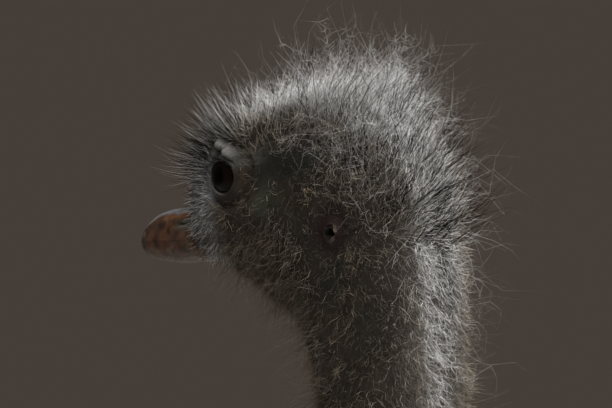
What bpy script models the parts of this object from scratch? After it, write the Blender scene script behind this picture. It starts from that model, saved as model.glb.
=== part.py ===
"""An adult hen ostrich, life size, standing with her neck raised and her head level.

Metres, +Z up. The bird faces -Y and her left side is +X. Every solid reaches to the
tips of its down or plumes, so the sizes here are those of the bird in full feather.
The body is drawn from sections: rings of points, each set by a lower and an upper
point of the side outline and by a half width, and joined in order. A piece that lies
against another is cut back by it with a gap of 0.3 mm.
"""

import math

import bmesh
import bpy
import numpy as np
from mathutils import Matrix, Vector

GAP = 0.0003

# The head's own frame: f forward of the eyes, u above them, on the middle plane.
HEAD_Y = -0.600
HEAD_Z = 1.900

# Front of the head, by share of the way from the bill to the eyes: forehead (f, u),
# jaw (f, u), half width. The first row lies on the sloping plane where the bill begins.
FACE = (
    (0.00, 0.0445, -0.0145, 0.0267, -0.0443, 0.0183),
    (0.18, 0.0435, -0.0030, 0.0235, -0.0460, 0.0212),
    (0.36, 0.0390, 0.0090, 0.0200, -0.0478, 0.0248),
    (0.56, 0.0300, 0.0235, 0.0140, -0.0500, 0.0288),
    (0.78, 0.0165, 0.0385, 0.0070, -0.0530, 0.0320),
    (1.00, 0.0000, 0.0480, 0.0000, -0.0590, 0.0335),
)
# The back of the head turns about a line across the throat.
THROAT_U = -0.125
# Degrees of turn, distance to the throat, distance to the crown and nape, half width.
TURN = (
    (0.0, 0.0660, 0.1730, 0.0335),
    (12.0, 0.0585, 0.1850, 0.0360),
    (25.0, 0.0525, 0.1950, 0.0385),
    (40.0, 0.0470, 0.1875, 0.0405),
    (55.0, 0.0435, 0.1660, 0.0420),
    (72.0, 0.0420, 0.1470, 0.0435),
    (90.0, 0.0415, 0.1375, 0.0450),
)
HEAD_ENDS_AT = 72.0
FACE_RINGS = 8
TURN_RINGS = 13
HEAD_SIDES = 24
HEAD_POWER = 2.25

# Neck: drop below the eyes, how far behind them, half depth, half width, lean in degrees.
NECK = (
    (0.125, 0.0895, 0.0480, 0.0450, 0.0),
    (0.200, 0.0980, 0.0450, 0.0425, 5.0),
    (0.320, 0.1080, 0.0420, 0.0400, 3.0),
    (0.450, 0.1140, 0.0430, 0.0410, 3.0),
    (0.570, 0.1220, 0.0490, 0.0465, 9.0),
    (0.670, 0.1440, 0.0600, 0.0570, 20.0),
    (0.755, 0.1860, 0.0770, 0.0710, 33.0),
    (0.830, 0.2500, 0.0990, 0.0900, 45.0),
    (0.880, 0.3200, 0.1050, 0.0950, 55.0),
)
NECK_RINGS = 22
NECK_SPLITS = (8, 14)

# Bill: forward of the eyes at the mouth line, ridge, mouth line, underside, half width.
BILL = (
    (0.0338, -0.0150, -0.0330, -0.0440, 0.0178),
    (0.0450, -0.0165, -0.0335, -0.0455, 0.0178),
    (0.0570, -0.0172, -0.0340, -0.0465, 0.0172),
    (0.0680, -0.0190, -0.0350, -0.0468, 0.0165),
    (0.0770, -0.0215, -0.0365, -0.0462, 0.0150),
    (0.0835, -0.0250, -0.0380, -0.0450, 0.0122),
    (0.0875, -0.0300, -0.0390, -0.0430, 0.0080),
    (0.0890, -0.0345, -0.0395, -0.0410, 0.0035),
)
# The root's slope, forward for each step up, dies away over this length of the bill.
BILL_SLOPE = 0.597
BILL_SLOPE_FADES = 0.030
BILL_RINGS = 11
BILL_SIDES = 14

EYE_RADIUS = 0.0170
EYE_X = 0.0195
EYE_FORWARD = 0.0010
EYE_DIVISIONS = (14, 8)
EAR_BACK = 0.0725
EAR_DOWN = 0.0285
EAR_OUT = 0.0375
EAR_SIZE = (0.0040, 0.0070, 0.0085)
EAR_DIVISIONS = (10, 6)

# Trunk: distance back, lower outline, upper outline, half width.
TRUNK = (
    (-0.400, 0.930, 1.050, 0.055),
    (-0.375, 0.880, 1.110, 0.095),
    (-0.310, 0.815, 1.175, 0.150),
    (-0.200, 0.760, 1.220, 0.195),
    (-0.060, 0.728, 1.248, 0.222),
    (0.100, 0.722, 1.252, 0.230),
    (0.250, 0.755, 1.235, 0.218),
    (0.370, 0.825, 1.200, 0.185),
    (0.450, 0.900, 1.160, 0.140),
    (0.500, 0.970, 1.110, 0.080),
)
TRUNK_RINGS = 17
TRUNK_SIDES = 22
TRUNK_POWER = 2.15

# Folded wing: distance back, middle height, distance out, half thickness, half height.
WING = (
    (-0.300, 1.090, 0.125, 0.014, 0.045),
    (-0.265, 1.080, 0.160, 0.032, 0.090),
    (-0.180, 1.055, 0.196, 0.044, 0.145),
    (-0.050, 1.020, 0.220, 0.047, 0.195),
    (0.100, 0.990, 0.228, 0.048, 0.225),
    (0.230, 0.960, 0.222, 0.046, 0.225),
    (0.330, 0.925, 0.205, 0.040, 0.190),
    (0.400, 0.885, 0.187, 0.028, 0.130),
    (0.435, 0.860, 0.178, 0.014, 0.075),
)
WING_RINGS = 14
WING_SIDES = 16
# How far the wing's upper and lower edges curl in round the flank, as a share of its height.
WING_CURL = (0.42, 0.13)

# Tail: distance back, height, half thickness, half width, lean from upright in degrees.
TAIL = (
    (0.330, 1.085, 0.100, 0.100, 82.0),
    (0.430, 1.070, 0.110, 0.122, 74.0),
    (0.515, 1.025, 0.110, 0.152, 55.0),
    (0.570, 0.950, 0.100, 0.165, 30.0),
    (0.595, 0.865, 0.082, 0.155, 12.0),
    (0.600, 0.790, 0.058, 0.125, 2.0),
    (0.595, 0.735, 0.032, 0.078, -5.0),
    (0.592, 0.712, 0.012, 0.040, -5.0),
)
TAIL_RINGS = 12
TAIL_SIDES = 16

# Leg, from the top: height, distance back, distance out, half depth, half width,
# share of the stride that this level moves by.
THIGH = (
    (0.900, 0.000, 0.105, 0.130, 0.090, 0.10),
    (0.800, 0.032, 0.113, 0.128, 0.092, 0.20),
    (0.720, 0.078, 0.116, 0.108, 0.080, 0.33),
    (0.640, 0.128, 0.114, 0.078, 0.060, 0.45),
    (0.570, 0.169, 0.111, 0.052, 0.043, 0.54),
    (0.528, 0.189, 0.110, 0.046, 0.038, 0.59),
    (0.500, 0.198, 0.110, 0.047, 0.038, 0.62),
)
SHANK = (
    (0.4997, 0.198, 0.110, 0.047, 0.038, 0.62),
    (0.470, 0.198, 0.110, 0.042, 0.036, 0.65),
    (0.430, 0.190, 0.110, 0.031, 0.028, 0.68),
    (0.300, 0.173, 0.110, 0.025, 0.023, 0.80),
    (0.160, 0.156, 0.110, 0.025, 0.024, 0.92),
    (0.090, 0.146, 0.110, 0.029, 0.029, 0.97),
    (0.058, 0.140, 0.110, 0.031, 0.032, 1.00),
    (0.034, 0.136, 0.110, 0.019, 0.022, 1.00),
)
THIGH_RINGS = 10
SHANK_RINGS = 12
LEG_SIDES = 14
STRIDE = {"left": -0.045, "right": 0.045}
FOOT_OUT = 0.110
FOOT_BACK = 0.140

# Toes: distance along the toe, half width, height of the middle, half height.
INNER_TOE = (
    (-0.030, 0.0260, 0.0180, 0.0200),
    (0.000, 0.0350, 0.0240, 0.0290),
    (0.045, 0.0330, 0.0220, 0.0265),
    (0.095, 0.0290, 0.0185, 0.0220),
    (0.145, 0.0260, 0.0155, 0.0185),
    (0.170, 0.0190, 0.0130, 0.0150),
    (0.178, 0.0110, 0.0120, 0.0110),
)
OUTER_TOE = (
    (0.000, 0.0240, 0.0180, 0.0200),
    (0.035, 0.0235, 0.0165, 0.0195),
    (0.075, 0.0200, 0.0135, 0.0160),
    (0.105, 0.0150, 0.0110, 0.0130),
    (0.115, 0.0080, 0.0100, 0.0085),
)
CLAW = (
    (0.160, 0.0130, 0.0145, 0.0095),
    (0.185, 0.0125, 0.0135, 0.0090),
    (0.210, 0.0090, 0.0105, 0.0065),
    (0.228, 0.0035, 0.0070, 0.0030),
)
OUTER_TOE_TURN = 24.0
OUTER_TOE_START = (0.020, -0.012)
TOE_SIDES = 12
TOE_RINGS = 9
CLAW_RINGS = 6

# Name: base colour, roughness.
FINISHES = {
    "down": ((0.32, 0.29, 0.26), 0.85),
    "horn": ((0.22, 0.12, 0.08), 0.45),
    "eye": ((0.035, 0.018, 0.010), 0.08),
    "bare_skin": ((0.30, 0.23, 0.20), 0.60),
    "plumes": ((0.17, 0.14, 0.12), 0.85),
    "pale_plumes": ((0.50, 0.46, 0.41), 0.85),
    "scutes": ((0.27, 0.21, 0.17), 0.55),
    "claw": ((0.09, 0.07, 0.06), 0.40),
}


def clear_scene():
    for obj in list(bpy.data.objects):
        bpy.data.objects.remove(obj)


def new_collection(name):
    collection = bpy.data.collections.new(name)
    bpy.context.scene.collection.children.link(collection)
    return collection


def make_finishes():
    made = {}
    for name, (colour, roughness) in FINISHES.items():
        material = bpy.data.materials.new(name)
        material.use_nodes = True
        shader = material.node_tree.nodes["Principled BSDF"]
        shader.inputs["Base Color"].default_value = (*colour, 1.0)
        shader.inputs["Roughness"].default_value = roughness
        shader.inputs["Metallic"].default_value = 0.0
        made[name] = material
    return made


def smooth_rows(rows, count, first=None, last=None):
    """The rows of a table, read at count even steps of its first column on a smooth curve."""
    table = np.array(rows, float)
    at = table[:, 0]
    slope = np.gradient(table, at, axis=0)
    start = at[0] if first is None else first
    end = at[-1] if last is None else last
    found = []
    for where in np.linspace(start, end, count):
        order = 1 if at[-1] > at[0] else -1
        k = int(np.clip(np.searchsorted(order * at, order * where) - 1, 0, len(at) - 2))
        span = at[k + 1] - at[k]
        t = (where - at[k]) / span
        found.append(
            (2 * t**3 - 3 * t**2 + 1) * table[k]
            + (t**3 - 2 * t**2 + t) * span * slope[k]
            + (3 * t**2 - 2 * t**3) * table[k + 1]
            + (t**3 - t**2) * span * slope[k + 1]
        )
    return found


def section(centre, across, upward, half_across, half_up, sides, power=2.0):
    """One ring: a closed superellipse round centre."""
    ring = []
    for k in range(sides):
        angle = 2 * math.pi * (k + 0.5) / sides
        c, s = math.cos(angle), math.sin(angle)
        x = math.copysign(abs(c) ** (2 / power), c) * half_across
        z = math.copysign(abs(s) ** (2 / power), s) * half_up
        ring.append(Vector(centre) + Vector(across) * x + Vector(upward) * z)
    return ring


def between(low, high, half_width, sides, power=2.0):
    """A ring on the middle plane, from its low to its high outline point, each (y, z)."""
    low, high = Vector((0, *low)), Vector((0, *high))
    span = high - low
    middle = (low + high) / 2
    return section(middle, (1, 0, 0), span.normalized(), half_width, span.length / 2, sides, power)


def eased(ring, following):
    """A flat ring moved by the gap along its own normal, towards the ring that follows it."""
    middle = sum(ring, Vector()) / len(ring)
    normal = (ring[0] - middle).cross(ring[len(ring) // 4] - middle).normalized()
    onward = math.copysign(GAP, normal.dot(following[0] - ring[0]))
    return [point + normal * onward for point in ring]


class Bird:
    """Keeps the finishes, the two collections and the empty that carries every piece."""

    def __init__(self):
        self.finishes = make_finishes()
        self.parts = new_collection("ostrich")
        self.cutters = new_collection("cutters")
        self.root = bpy.data.objects.new("ostrich_root", None)
        self.parts.objects.link(self.root)

    def add(self, name, mesh, finish, origin, collection=None):
        """An object whose mesh was drawn in world places, with its origin put at origin."""
        mesh.transform(Matrix.Translation(-Vector(origin)))
        mesh.shade_smooth()
        mesh.set_sharp_from_angle(angle=math.radians(50))
        mesh.materials.append(self.finishes[finish])
        obj = bpy.data.objects.new(name, mesh)
        obj.location = origin
        obj.parent = self.root
        (collection or self.parts).objects.link(obj)
        return obj

    def loft(self, name, rings, finish, origin, floor=None):
        """A closed solid through rings of equal length, cut flat at the floor if one is given."""
        bm = bmesh.new()
        rows = [[bm.verts.new(point) for point in ring] for ring in rings]
        for low, high in zip(rows, rows[1:]):
            for k in range(len(low)):
                j = (k + 1) % len(low)
                bm.faces.new((low[k], low[j], high[j], high[k]))
        bm.faces.new(rows[0])
        bm.faces.new(rows[-1])
        if floor is not None:
            everything = bm.verts[:] + bm.edges[:] + bm.faces[:]
            cut = bmesh.ops.bisect_plane(
                bm, geom=everything, plane_co=(0, 0, floor), plane_no=(0, 0, -1), clear_outer=True
            )
            edges = [item for item in cut["geom_cut"] if isinstance(item, bmesh.types.BMEdge)]
            bmesh.ops.contextual_create(bm, geom=edges)
        bmesh.ops.recalc_face_normals(bm, faces=bm.faces[:])
        bmesh.ops.triangulate(bm, faces=bm.faces[:])
        mesh = bpy.data.meshes.new(name)
        bm.to_mesh(mesh)
        bm.free()
        return self.add(name, mesh, finish, origin)

    def cut(self, obj, *others):
        """Takes the uncut shape of each other piece, grown by the gap, out of obj."""
        for other in others:
            cutter = bpy.data.objects.new(f"{obj.name}_less_{other.name}", other.data)
            cutter.matrix_world = Matrix.Translation(other.location)
            cutter.parent = self.root
            cutter.hide_render = True
            cutter.display_type = "WIRE"
            self.cutters.objects.link(cutter)
            grow = cutter.modifiers.new("grow", "DISPLACE")
            grow.strength = GAP
            grow.mid_level = 0.0
            boolean = obj.modifiers.new("cut", "BOOLEAN")
            boolean.operation = "DIFFERENCE"
            boolean.object = cutter

    def stand_on_origin(self):
        """Moves the whole bird so that the middle of its box's floor is the origin."""
        bpy.context.view_layer.update()
        graph = bpy.context.evaluated_depsgraph_get()
        corners = []
        for obj in self.parts.objects:
            if obj.type == "MESH":
                shown = obj.evaluated_get(graph)
                corners += [shown.matrix_world @ Vector(c) for c in shown.bound_box]
        low = Vector([min(c[i] for c in corners) for i in range(3)])
        high = Vector([max(c[i] for c in corners) for i in range(3)])
        self.root.location = (-(low.x + high.x) / 2, -(low.y + high.y) / 2, -low.z)


def head_point(forward, above, out=0.0):
    return Vector((out, HEAD_Y - forward, HEAD_Z + above))


def face_rings():
    """The front of the head, from the bill back to the eyes."""
    rings = []
    for _, top_f, top_u, low_f, low_u, half in smooth_rows(FACE, FACE_RINGS):
        low = (HEAD_Y - low_f, HEAD_Z + low_u)
        high = (HEAD_Y - top_f, HEAD_Z + top_u)
        rings.append(between(low, high, half, HEAD_SIDES, HEAD_POWER))
    return rings


def turn_ring(degrees, inner, outer, half):
    """A ring on a plane that turns about the throat line."""
    angle = math.radians(degrees)
    back, up = math.sin(angle), math.cos(angle)
    low = (HEAD_Y + back * inner, HEAD_Z + THROAT_U + up * inner)
    high = (HEAD_Y + back * outer, HEAD_Z + THROAT_U + up * outer)
    return between(low, high, half, HEAD_SIDES, HEAD_POWER)


def add_head(bird):
    turning = [turn_ring(*row) for row in smooth_rows(TURN, TURN_RINGS, 0.0, HEAD_ENDS_AT)]
    return bird.loft("head", face_rings() + turning[1:], "down", head_point(0, 0))


def neck_ring(drop, behind, half_depth, half_width, lean):
    angle = math.radians(lean)
    upward = Vector((0, math.cos(angle), math.sin(angle)))
    centre = head_point(-behind, -drop)
    return section(centre, (1, 0, 0), upward, half_width, half_depth, HEAD_SIDES)


def add_neck(bird):
    """Three lengths, the first of which starts on the plane where the head ends."""
    rings = [turn_ring(*row) for row in smooth_rows(TURN, 4, HEAD_ENDS_AT, 87.0)]
    rings += [neck_ring(*row) for row in smooth_rows(NECK, NECK_RINGS)[1:]]
    first, second = NECK_SPLITS
    spans = {
        "neck_upper": rings[: first + 1],
        "neck_middle": rings[first : second + 1],
        "neck_lower": rings[second:],
    }
    made = []
    for name, span in spans.items():
        middle = sum(span[0], Vector()) / len(span[0])
        made.append(bird.loft(name, [eased(*span[:2])] + span[1:], "down", middle))
    return made


def bill_rings(upper):
    """Upper or lower half of the bill: a rounded outer side over a nearly flat mouth line."""
    rings = []
    for forward, ridge, mouth, under, half in smooth_rows(BILL, BILL_RINGS):
        edge = mouth + GAP / 2 if upper else mouth - GAP / 2
        reach = ridge - edge if upper else under - edge
        faded = max(0.0, 1.0 - (forward - BILL[0][0]) / BILL_SLOPE_FADES)
        ring = []
        for k in range(BILL_SIDES):
            angle = math.pi * k / (BILL_SIDES - 1)
            out = half * math.copysign(abs(math.cos(angle)) ** 0.85, math.cos(angle))
            above = reach * abs(math.sin(angle)) ** 0.9
            lean = BILL_SLOPE * faded * (edge + above - mouth)
            ring.append(head_point(forward + lean, edge + above, out))
        rings.append(ring)
    return rings


def add_bill(bird):
    """Two pieces that meet along the mouth line, in front of the face."""
    root = head_point(BILL[0][0], BILL[0][2])
    upper = bird.loft("bill_upper", bill_rings(True), "horn", root)
    lower = bird.loft("bill_lower", bill_rings(False), "horn", root)
    return upper, lower


def ball(bird, name, centre, radii, divisions, finish):
    """A closed ball or egg from a UV sphere."""
    bm = bmesh.new()
    around, down = divisions
    bmesh.ops.create_uvsphere(bm, u_segments=around, v_segments=down, radius=1.0)
    scale = Matrix.Diagonal((*radii, 1.0))
    bmesh.ops.transform(bm, matrix=Matrix.Translation(centre) @ scale, verts=bm.verts)
    mesh = bpy.data.meshes.new(name)
    bm.to_mesh(mesh)
    bm.free()
    return bird.add(name, mesh, finish, centre)


def add_eyes_and_ears(bird, head):
    for side, sign in (("left", 1), ("right", -1)):
        eye_at = head_point(EYE_FORWARD, 0.0, sign * EYE_X)
        eye = ball(bird, f"eye_{side}", eye_at, (EYE_RADIUS,) * 3, EYE_DIVISIONS, "eye")
        ear_at = head_point(-EAR_BACK, -EAR_DOWN, sign * EAR_OUT)
        ear = ball(bird, f"ear_{side}", ear_at, EAR_SIZE, EAR_DIVISIONS, "bare_skin")
        bird.cut(head, eye, ear)


def add_trunk(bird):
    rings = []
    for back, under, over, half in smooth_rows(TRUNK, TRUNK_RINGS):
        rings.append(between((back, under), (back, over), half, TRUNK_SIDES, TRUNK_POWER))
    return bird.loft("trunk", rings, "plumes", (0, 0.05, 0.98))


def add_wing(bird, side, sign):
    """A folded wing: a thick leaf whose upper and lower edges curl in round the flank."""
    rings = []
    for back, height, out, half_thick, half_high in smooth_rows(WING, WING_RINGS):
        centre = (sign * out, back, height)
        ring = section(centre, (1, 0, 0), (0, 0, 1), half_thick, half_high, WING_SIDES, 2.3)
        for point in ring:
            share = (point.z - height) / half_high
            curl = WING_CURL[0] if share > 0 else WING_CURL[1]
            point.x -= sign * curl * half_high * share**2
        rings.append(ring)
    return bird.loft(f"wing_{side}", rings, "plumes", (sign * WING[0][2], WING[0][0], WING[0][1]))


def add_tail(bird):
    rows = np.array(TAIL)
    steps = np.linalg.norm(np.diff(rows[:, :2], axis=0), axis=1)
    along = np.concatenate([[0], np.cumsum(steps)])
    rings = []
    for _, back, height, thick, half, lean in smooth_rows(
        np.column_stack([along, rows]), TAIL_RINGS
    ):
        angle = math.radians(lean)
        upward = Vector((0, math.cos(angle), math.sin(angle)))
        rings.append(section((0, back, height), (1, 0, 0), upward, half, thick, TAIL_SIDES))
    return bird.loft("tail", rings, "pale_plumes", (0, TAIL[0][0], TAIL[0][1]))


def leg_rings(rows, count, sign, stride):
    """Rings down one length of the leg, each square to the line through the leg."""
    read = smooth_rows(rows, count)
    centres = [
        Vector((sign * out, back + share * stride, height))
        for height, back, out, _, _, share in read
    ]
    rings = []
    for k, (row, centre) in enumerate(zip(read, centres)):
        along = (centres[min(k + 1, count - 1)] - centres[max(k - 1, 0)]).normalized()
        forward = Vector((1, 0, 0)).cross(along).normalized()
        rings.append(section(centre, (1, 0, 0), forward, row[4], row[3], LEG_SIDES))
    return rings


def toe_rings(rows, count, start, turn):
    """Rings along a toe that lies on the floor and points forward, turned outward by turn."""
    direction = Vector((math.sin(turn), -math.cos(turn), 0))
    across = Vector((math.cos(turn), math.sin(turn), 0))
    rings = []
    for along, half, middle, half_high in smooth_rows(rows, count):
        centre = Vector(start) + direction * along + Vector((0, 0, middle))
        rings.append(section(centre, across, (0, 0, 1), half, half_high, TOE_SIDES, 2.3))
    return rings


def add_leg(bird, side, sign):
    """Thigh, shank, two toes and the big claw. Returns the thigh, which the trunk and wing cut."""
    stride = STRIDE[side]
    thigh_rings = leg_rings(THIGH, THIGH_RINGS, sign, stride)
    shank_rings = leg_rings(SHANK, SHANK_RINGS, sign, stride)
    flat = Vector((0, 1, 0))
    hock = sum(thigh_rings[-1], Vector()) / LEG_SIDES
    last, first = THIGH[-1], SHANK[0]
    thigh_rings[-1] = section(hock, (1, 0, 0), flat, last[4], last[3], LEG_SIDES)
    knuckle = hock - Vector((0, 0, GAP))
    shank_rings[0] = section(knuckle, (1, 0, 0), flat, first[4], first[3], LEG_SIDES)
    thigh = bird.loft(f"thigh_{side}", thigh_rings, "bare_skin", hock)
    shank = bird.loft(f"shank_{side}", shank_rings, "scutes", hock)
    ankle = Vector((sign * FOOT_OUT, FOOT_BACK + stride, 0))
    inner = bird.loft(
        f"toe_inner_{side}", toe_rings(INNER_TOE, TOE_RINGS, ankle, 0.0), "scutes", ankle, 0.0
    )
    start = ankle + Vector((sign * OUTER_TOE_START[0], OUTER_TOE_START[1], 0))
    turn = sign * math.radians(OUTER_TOE_TURN)
    outer = bird.loft(
        f"toe_outer_{side}", toe_rings(OUTER_TOE, TOE_RINGS, start, turn), "scutes", start, 0.0
    )
    claw = bird.loft(f"claw_{side}", toe_rings(CLAW, CLAW_RINGS, ankle, 0.0), "claw", ankle, 0.0005)
    bird.cut(shank, inner, outer)
    bird.cut(outer, inner)
    bird.cut(inner, claw)
    return thigh


def build():
    clear_scene()
    bird = Bird()
    head = add_head(bird)
    add_eyes_and_ears(bird, head)
    add_bill(bird)
    neck_lower = add_neck(bird)[-1]
    trunk = add_trunk(bird)
    tail = add_tail(bird)
    bird.cut(neck_lower, trunk)
    bird.cut(tail, trunk)
    for side, sign in (("left", 1), ("right", -1)):
        wing = add_wing(bird, side, sign)
        bird.cut(wing, trunk)
        thigh = add_leg(bird, side, sign)
        bird.cut(thigh, trunk, wing)
    bird.stand_on_origin()


build()
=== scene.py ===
"""The looks of a standing adult hen ostrich, all solid mesh: one skin over her flesh, her eyes,
bill and claws, and a coat of hair-like down, bristles and loose plumes.

Metres, +Z up, as the frame: the bird faces -Y and her left side is +X. Around the head,
places are given in the head's own terms: f forward, u above the eyes, x to her left.
"""

import math

import bmesh
import bpy
import numpy as np
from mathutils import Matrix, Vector
from mathutils.kdtree import KDTree


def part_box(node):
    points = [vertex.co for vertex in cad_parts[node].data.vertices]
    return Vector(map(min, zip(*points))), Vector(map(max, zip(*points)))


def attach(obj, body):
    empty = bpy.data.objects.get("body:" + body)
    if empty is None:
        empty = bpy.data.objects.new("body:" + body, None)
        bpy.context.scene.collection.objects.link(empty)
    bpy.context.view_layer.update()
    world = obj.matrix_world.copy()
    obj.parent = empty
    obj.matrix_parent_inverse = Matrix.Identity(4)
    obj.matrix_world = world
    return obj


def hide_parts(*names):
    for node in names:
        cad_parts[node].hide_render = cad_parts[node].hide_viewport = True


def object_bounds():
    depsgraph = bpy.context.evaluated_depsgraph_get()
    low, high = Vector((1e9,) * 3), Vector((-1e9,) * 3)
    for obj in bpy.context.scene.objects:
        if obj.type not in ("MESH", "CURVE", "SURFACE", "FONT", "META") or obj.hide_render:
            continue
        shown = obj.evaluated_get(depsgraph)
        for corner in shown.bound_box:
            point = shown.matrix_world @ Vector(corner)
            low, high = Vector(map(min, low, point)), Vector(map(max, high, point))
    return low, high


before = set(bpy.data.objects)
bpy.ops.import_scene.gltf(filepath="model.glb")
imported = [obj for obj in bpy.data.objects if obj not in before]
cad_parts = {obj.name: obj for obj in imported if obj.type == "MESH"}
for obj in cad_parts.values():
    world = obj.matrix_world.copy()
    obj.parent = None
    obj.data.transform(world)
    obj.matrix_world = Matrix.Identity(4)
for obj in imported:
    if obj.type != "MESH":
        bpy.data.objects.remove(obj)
cad_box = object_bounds()
cad_low, cad_high = np.array(cad_box, float)

RNG = np.random.default_rng(11)
MM = 0.001
TAU = 2 * math.pi

# ---------------------------------------------------------------- places, read from the frame


def node_box(name):
    return np.array(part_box(name), float)


EYES = {"left": node_box("eye_left").mean(0), "right": node_box("eye_right").mean(0)}
EYE_X = EYES["left"][0]
EYE_F = 0.001
HEAD_Y = EYES["left"][1] + EYE_F
EYE_Z = EYES["left"][2]
PHOTO_END = EYE_Z - 0.150  # just under the camera's low edge; the down thins below it
EAR = node_box("ear_left").mean(0)
WHORL = (-0.022, 0.004)  # f and u of the place behind each eye that the head's down grows from
TAIL = node_box("tail")
HOCK_Z = node_box("shank_left")[1][2]


def head_terms(points):
    """f, u and distance from the middle plane of world points."""
    return HEAD_Y - points[:, 1], points[:, 2] - EYE_Z, np.abs(points[:, 0])


# ---------------------------------------------------------------- small mathematics


def smooth(low, high, value):
    """0 below low, 1 above high, an S curve between them. low may be the larger."""
    t = np.clip((value - low) / (high - low), 0.0, 1.0)
    return t * t * (3 - 2 * t)


def bump_at(value, centre, width):
    """1 at centre, falling off to 0 on both sides as a bell."""
    return np.exp(-(((value - centre) / width) ** 2))


def unit(vectors):
    length = np.linalg.norm(vectors, axis=-1, keepdims=True)
    return vectors / np.maximum(length, 1e-12)


def dot(a, b):
    return np.sum(a * b, axis=-1, keepdims=True)


def flattened(vectors, normals):
    """Vectors laid into the surface whose normals are given."""
    return unit(vectors - normals * dot(vectors, normals))


def value_noise(points, size, seed=0):
    """Smooth noise from -1 to 1 with features of about the given size in metres."""
    table = np.random.default_rng(seed).random((32, 32, 32)) * 2 - 1
    q = points / size + 97.3
    cell = np.floor(q).astype(int)
    t = q - cell
    t = t * t * (3 - 2 * t)
    total = 0.0
    for corner in range(8):
        step = np.array((corner & 1, corner >> 1 & 1, corner >> 2 & 1))
        share = np.prod(np.where(step == 1, t, 1 - t), axis=1)
        at = (cell + step) % 32
        total = total + share * table[at[:, 0], at[:, 1], at[:, 2]]
    return total


def mixed(a, b, share):
    return a * (1 - share) + b * share


def painted(colours, paint, share):
    """A colour for each point, with a paint laid over it by each point's share."""
    return mixed(colours, paint, share[:, None])


# ---------------------------------------------------------------- the spine, for flow and unwrap

# The line from the bill's root over the skull, down the neck and along the trunk: (f, u) near
# the head, then (y, z) in the world.
HEAD_LINE = (
    (0.0420, -0.0330), (0.0250, -0.0200), (0.0050, -0.0080), (-0.0200, -0.0050),
    (-0.0500, -0.0170), (-0.0730, -0.0450), (-0.0850, -0.0850), (-0.0895, -0.1250),
)
BODY_LINE = (
    (-0.500, 1.600), (-0.485, 1.450), (-0.472, 1.320), (-0.440, 1.215), (-0.375, 1.130),
    (-0.280, 1.060), (-0.100, 1.010), (0.120, 0.995), (0.320, 1.020), (0.480, 1.010),
    (0.570, 0.930), (0.600, 0.820),
)
SPINE_STEPS = 400
SPINE_CHUNK = 20000  # points measured against the spine at a time, to save memory


def make_spine():
    """Even steps along the spine: places, forward tangents and upper normals, as (y, z)."""
    points = [(HEAD_Y - f, EYE_Z + u) for f, u in HEAD_LINE] + list(BODY_LINE)
    points = np.array(points)
    for _ in range(3):
        middle = (points[1:] + points[:-1]) / 2
        points = np.vstack([points[:1], middle, points[-1:]])
    run = np.concatenate([[0], np.cumsum(np.linalg.norm(np.diff(points, axis=0), axis=1))])
    even = np.linspace(0, run[-1], SPINE_STEPS)
    line = np.column_stack([np.interp(even, run, points[:, k]) for k in (0, 1)])
    tangent = unit(np.gradient(line, axis=0))
    over = np.column_stack([-tangent[:, 1], tangent[:, 0]])
    return even, line, tangent, over


SPINE_RUN, SPINE_LINE, SPINE_TANGENT, SPINE_OVER = make_spine()
SPINE_LENGTH = SPINE_RUN[-1]


def on_spine(points):
    """For each point: run along the spine, tangent, direction over the back, angle round it.

    The angle is 0 over the back or nape and half a turn under the belly or throat, with the
    bird's left side positive.
    """
    run = np.empty(len(points))
    tangent = np.zeros((len(points), 3))
    over = np.zeros((len(points), 3))
    round_it = np.empty(len(points))
    for start in range(0, len(points), SPINE_CHUNK):
        part = slice(start, start + SPINE_CHUNK)
        flat = points[part][:, 1:]
        gaps = ((flat[:, None] - SPINE_LINE[None]) ** 2).sum(2)
        near = gaps.argmin(1)
        run[part] = SPINE_RUN[near]
        tangent[part, 1:] = SPINE_TANGENT[near]
        over[part, 1:] = SPINE_OVER[near]
        out = ((flat - SPINE_LINE[near]) * SPINE_OVER[near]).sum(1)
        round_it[part] = np.arctan2(points[part][:, 0], out)
    return run, tangent, over, round_it


def run_at(y, z):
    """How far along the spine the place (y, z) is."""
    return SPINE_RUN[((SPINE_LINE - (y, z)) ** 2).sum(1).argmin()]


RUN_NAPE = run_at(HEAD_Y + 0.075, EYE_Z - 0.06)
RUN_NECK_TOP = run_at(HEAD_Y + 0.09, EYE_Z - 0.14)
RUN_NECK_END = run_at(-0.36, 1.12)

# ---------------------------------------------------------------- mesh making


def mesh_from_arrays(name, verts, faces, smooth_faces=True):
    """A mesh from an array of points and an array of triangles or quads."""
    mesh = bpy.data.meshes.new(name)
    corners = faces.shape[1]
    mesh.vertices.add(len(verts))
    mesh.vertices.foreach_set("co", np.ascontiguousarray(verts, np.float32).ravel())
    mesh.loops.add(faces.size)
    mesh.loops.foreach_set("vertex_index", np.ascontiguousarray(faces, np.int32).ravel())
    mesh.polygons.add(len(faces))
    mesh.polygons.foreach_set("loop_start", np.arange(0, faces.size, corners, dtype=np.int32))
    mesh.update(calc_edges=True)
    mesh.polygons.foreach_set("use_smooth", np.full(len(faces), smooth_faces))
    return mesh


def add_object(name, mesh, material):
    """A mesh put in the scene with one material."""
    mesh.materials.append(material)
    obj = bpy.data.objects.new(name, mesh)
    bpy.context.scene.collection.objects.link(obj)
    return obj


def hand_over(obj, slot, *nodes):
    """The piece rides on the bird and stands for the nodes named. slot is not used."""
    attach(obj, "root")
    if nodes:
        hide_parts(*nodes)
    return obj


def set_point_colour(mesh, name, colours):
    attribute = mesh.attributes.new(name, "FLOAT_COLOR", "POINT")
    rgba = np.ones((len(mesh.vertices), 4), np.float32)
    rgba[:, :3] = np.clip(colours, 0, 1)
    attribute.data.foreach_set("color", rgba.ravel())


def set_point_value(mesh, name, values):
    attribute = mesh.attributes.new(name, "FLOAT", "POINT")
    attribute.data.foreach_set("value", np.ascontiguousarray(values, np.float32))


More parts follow.
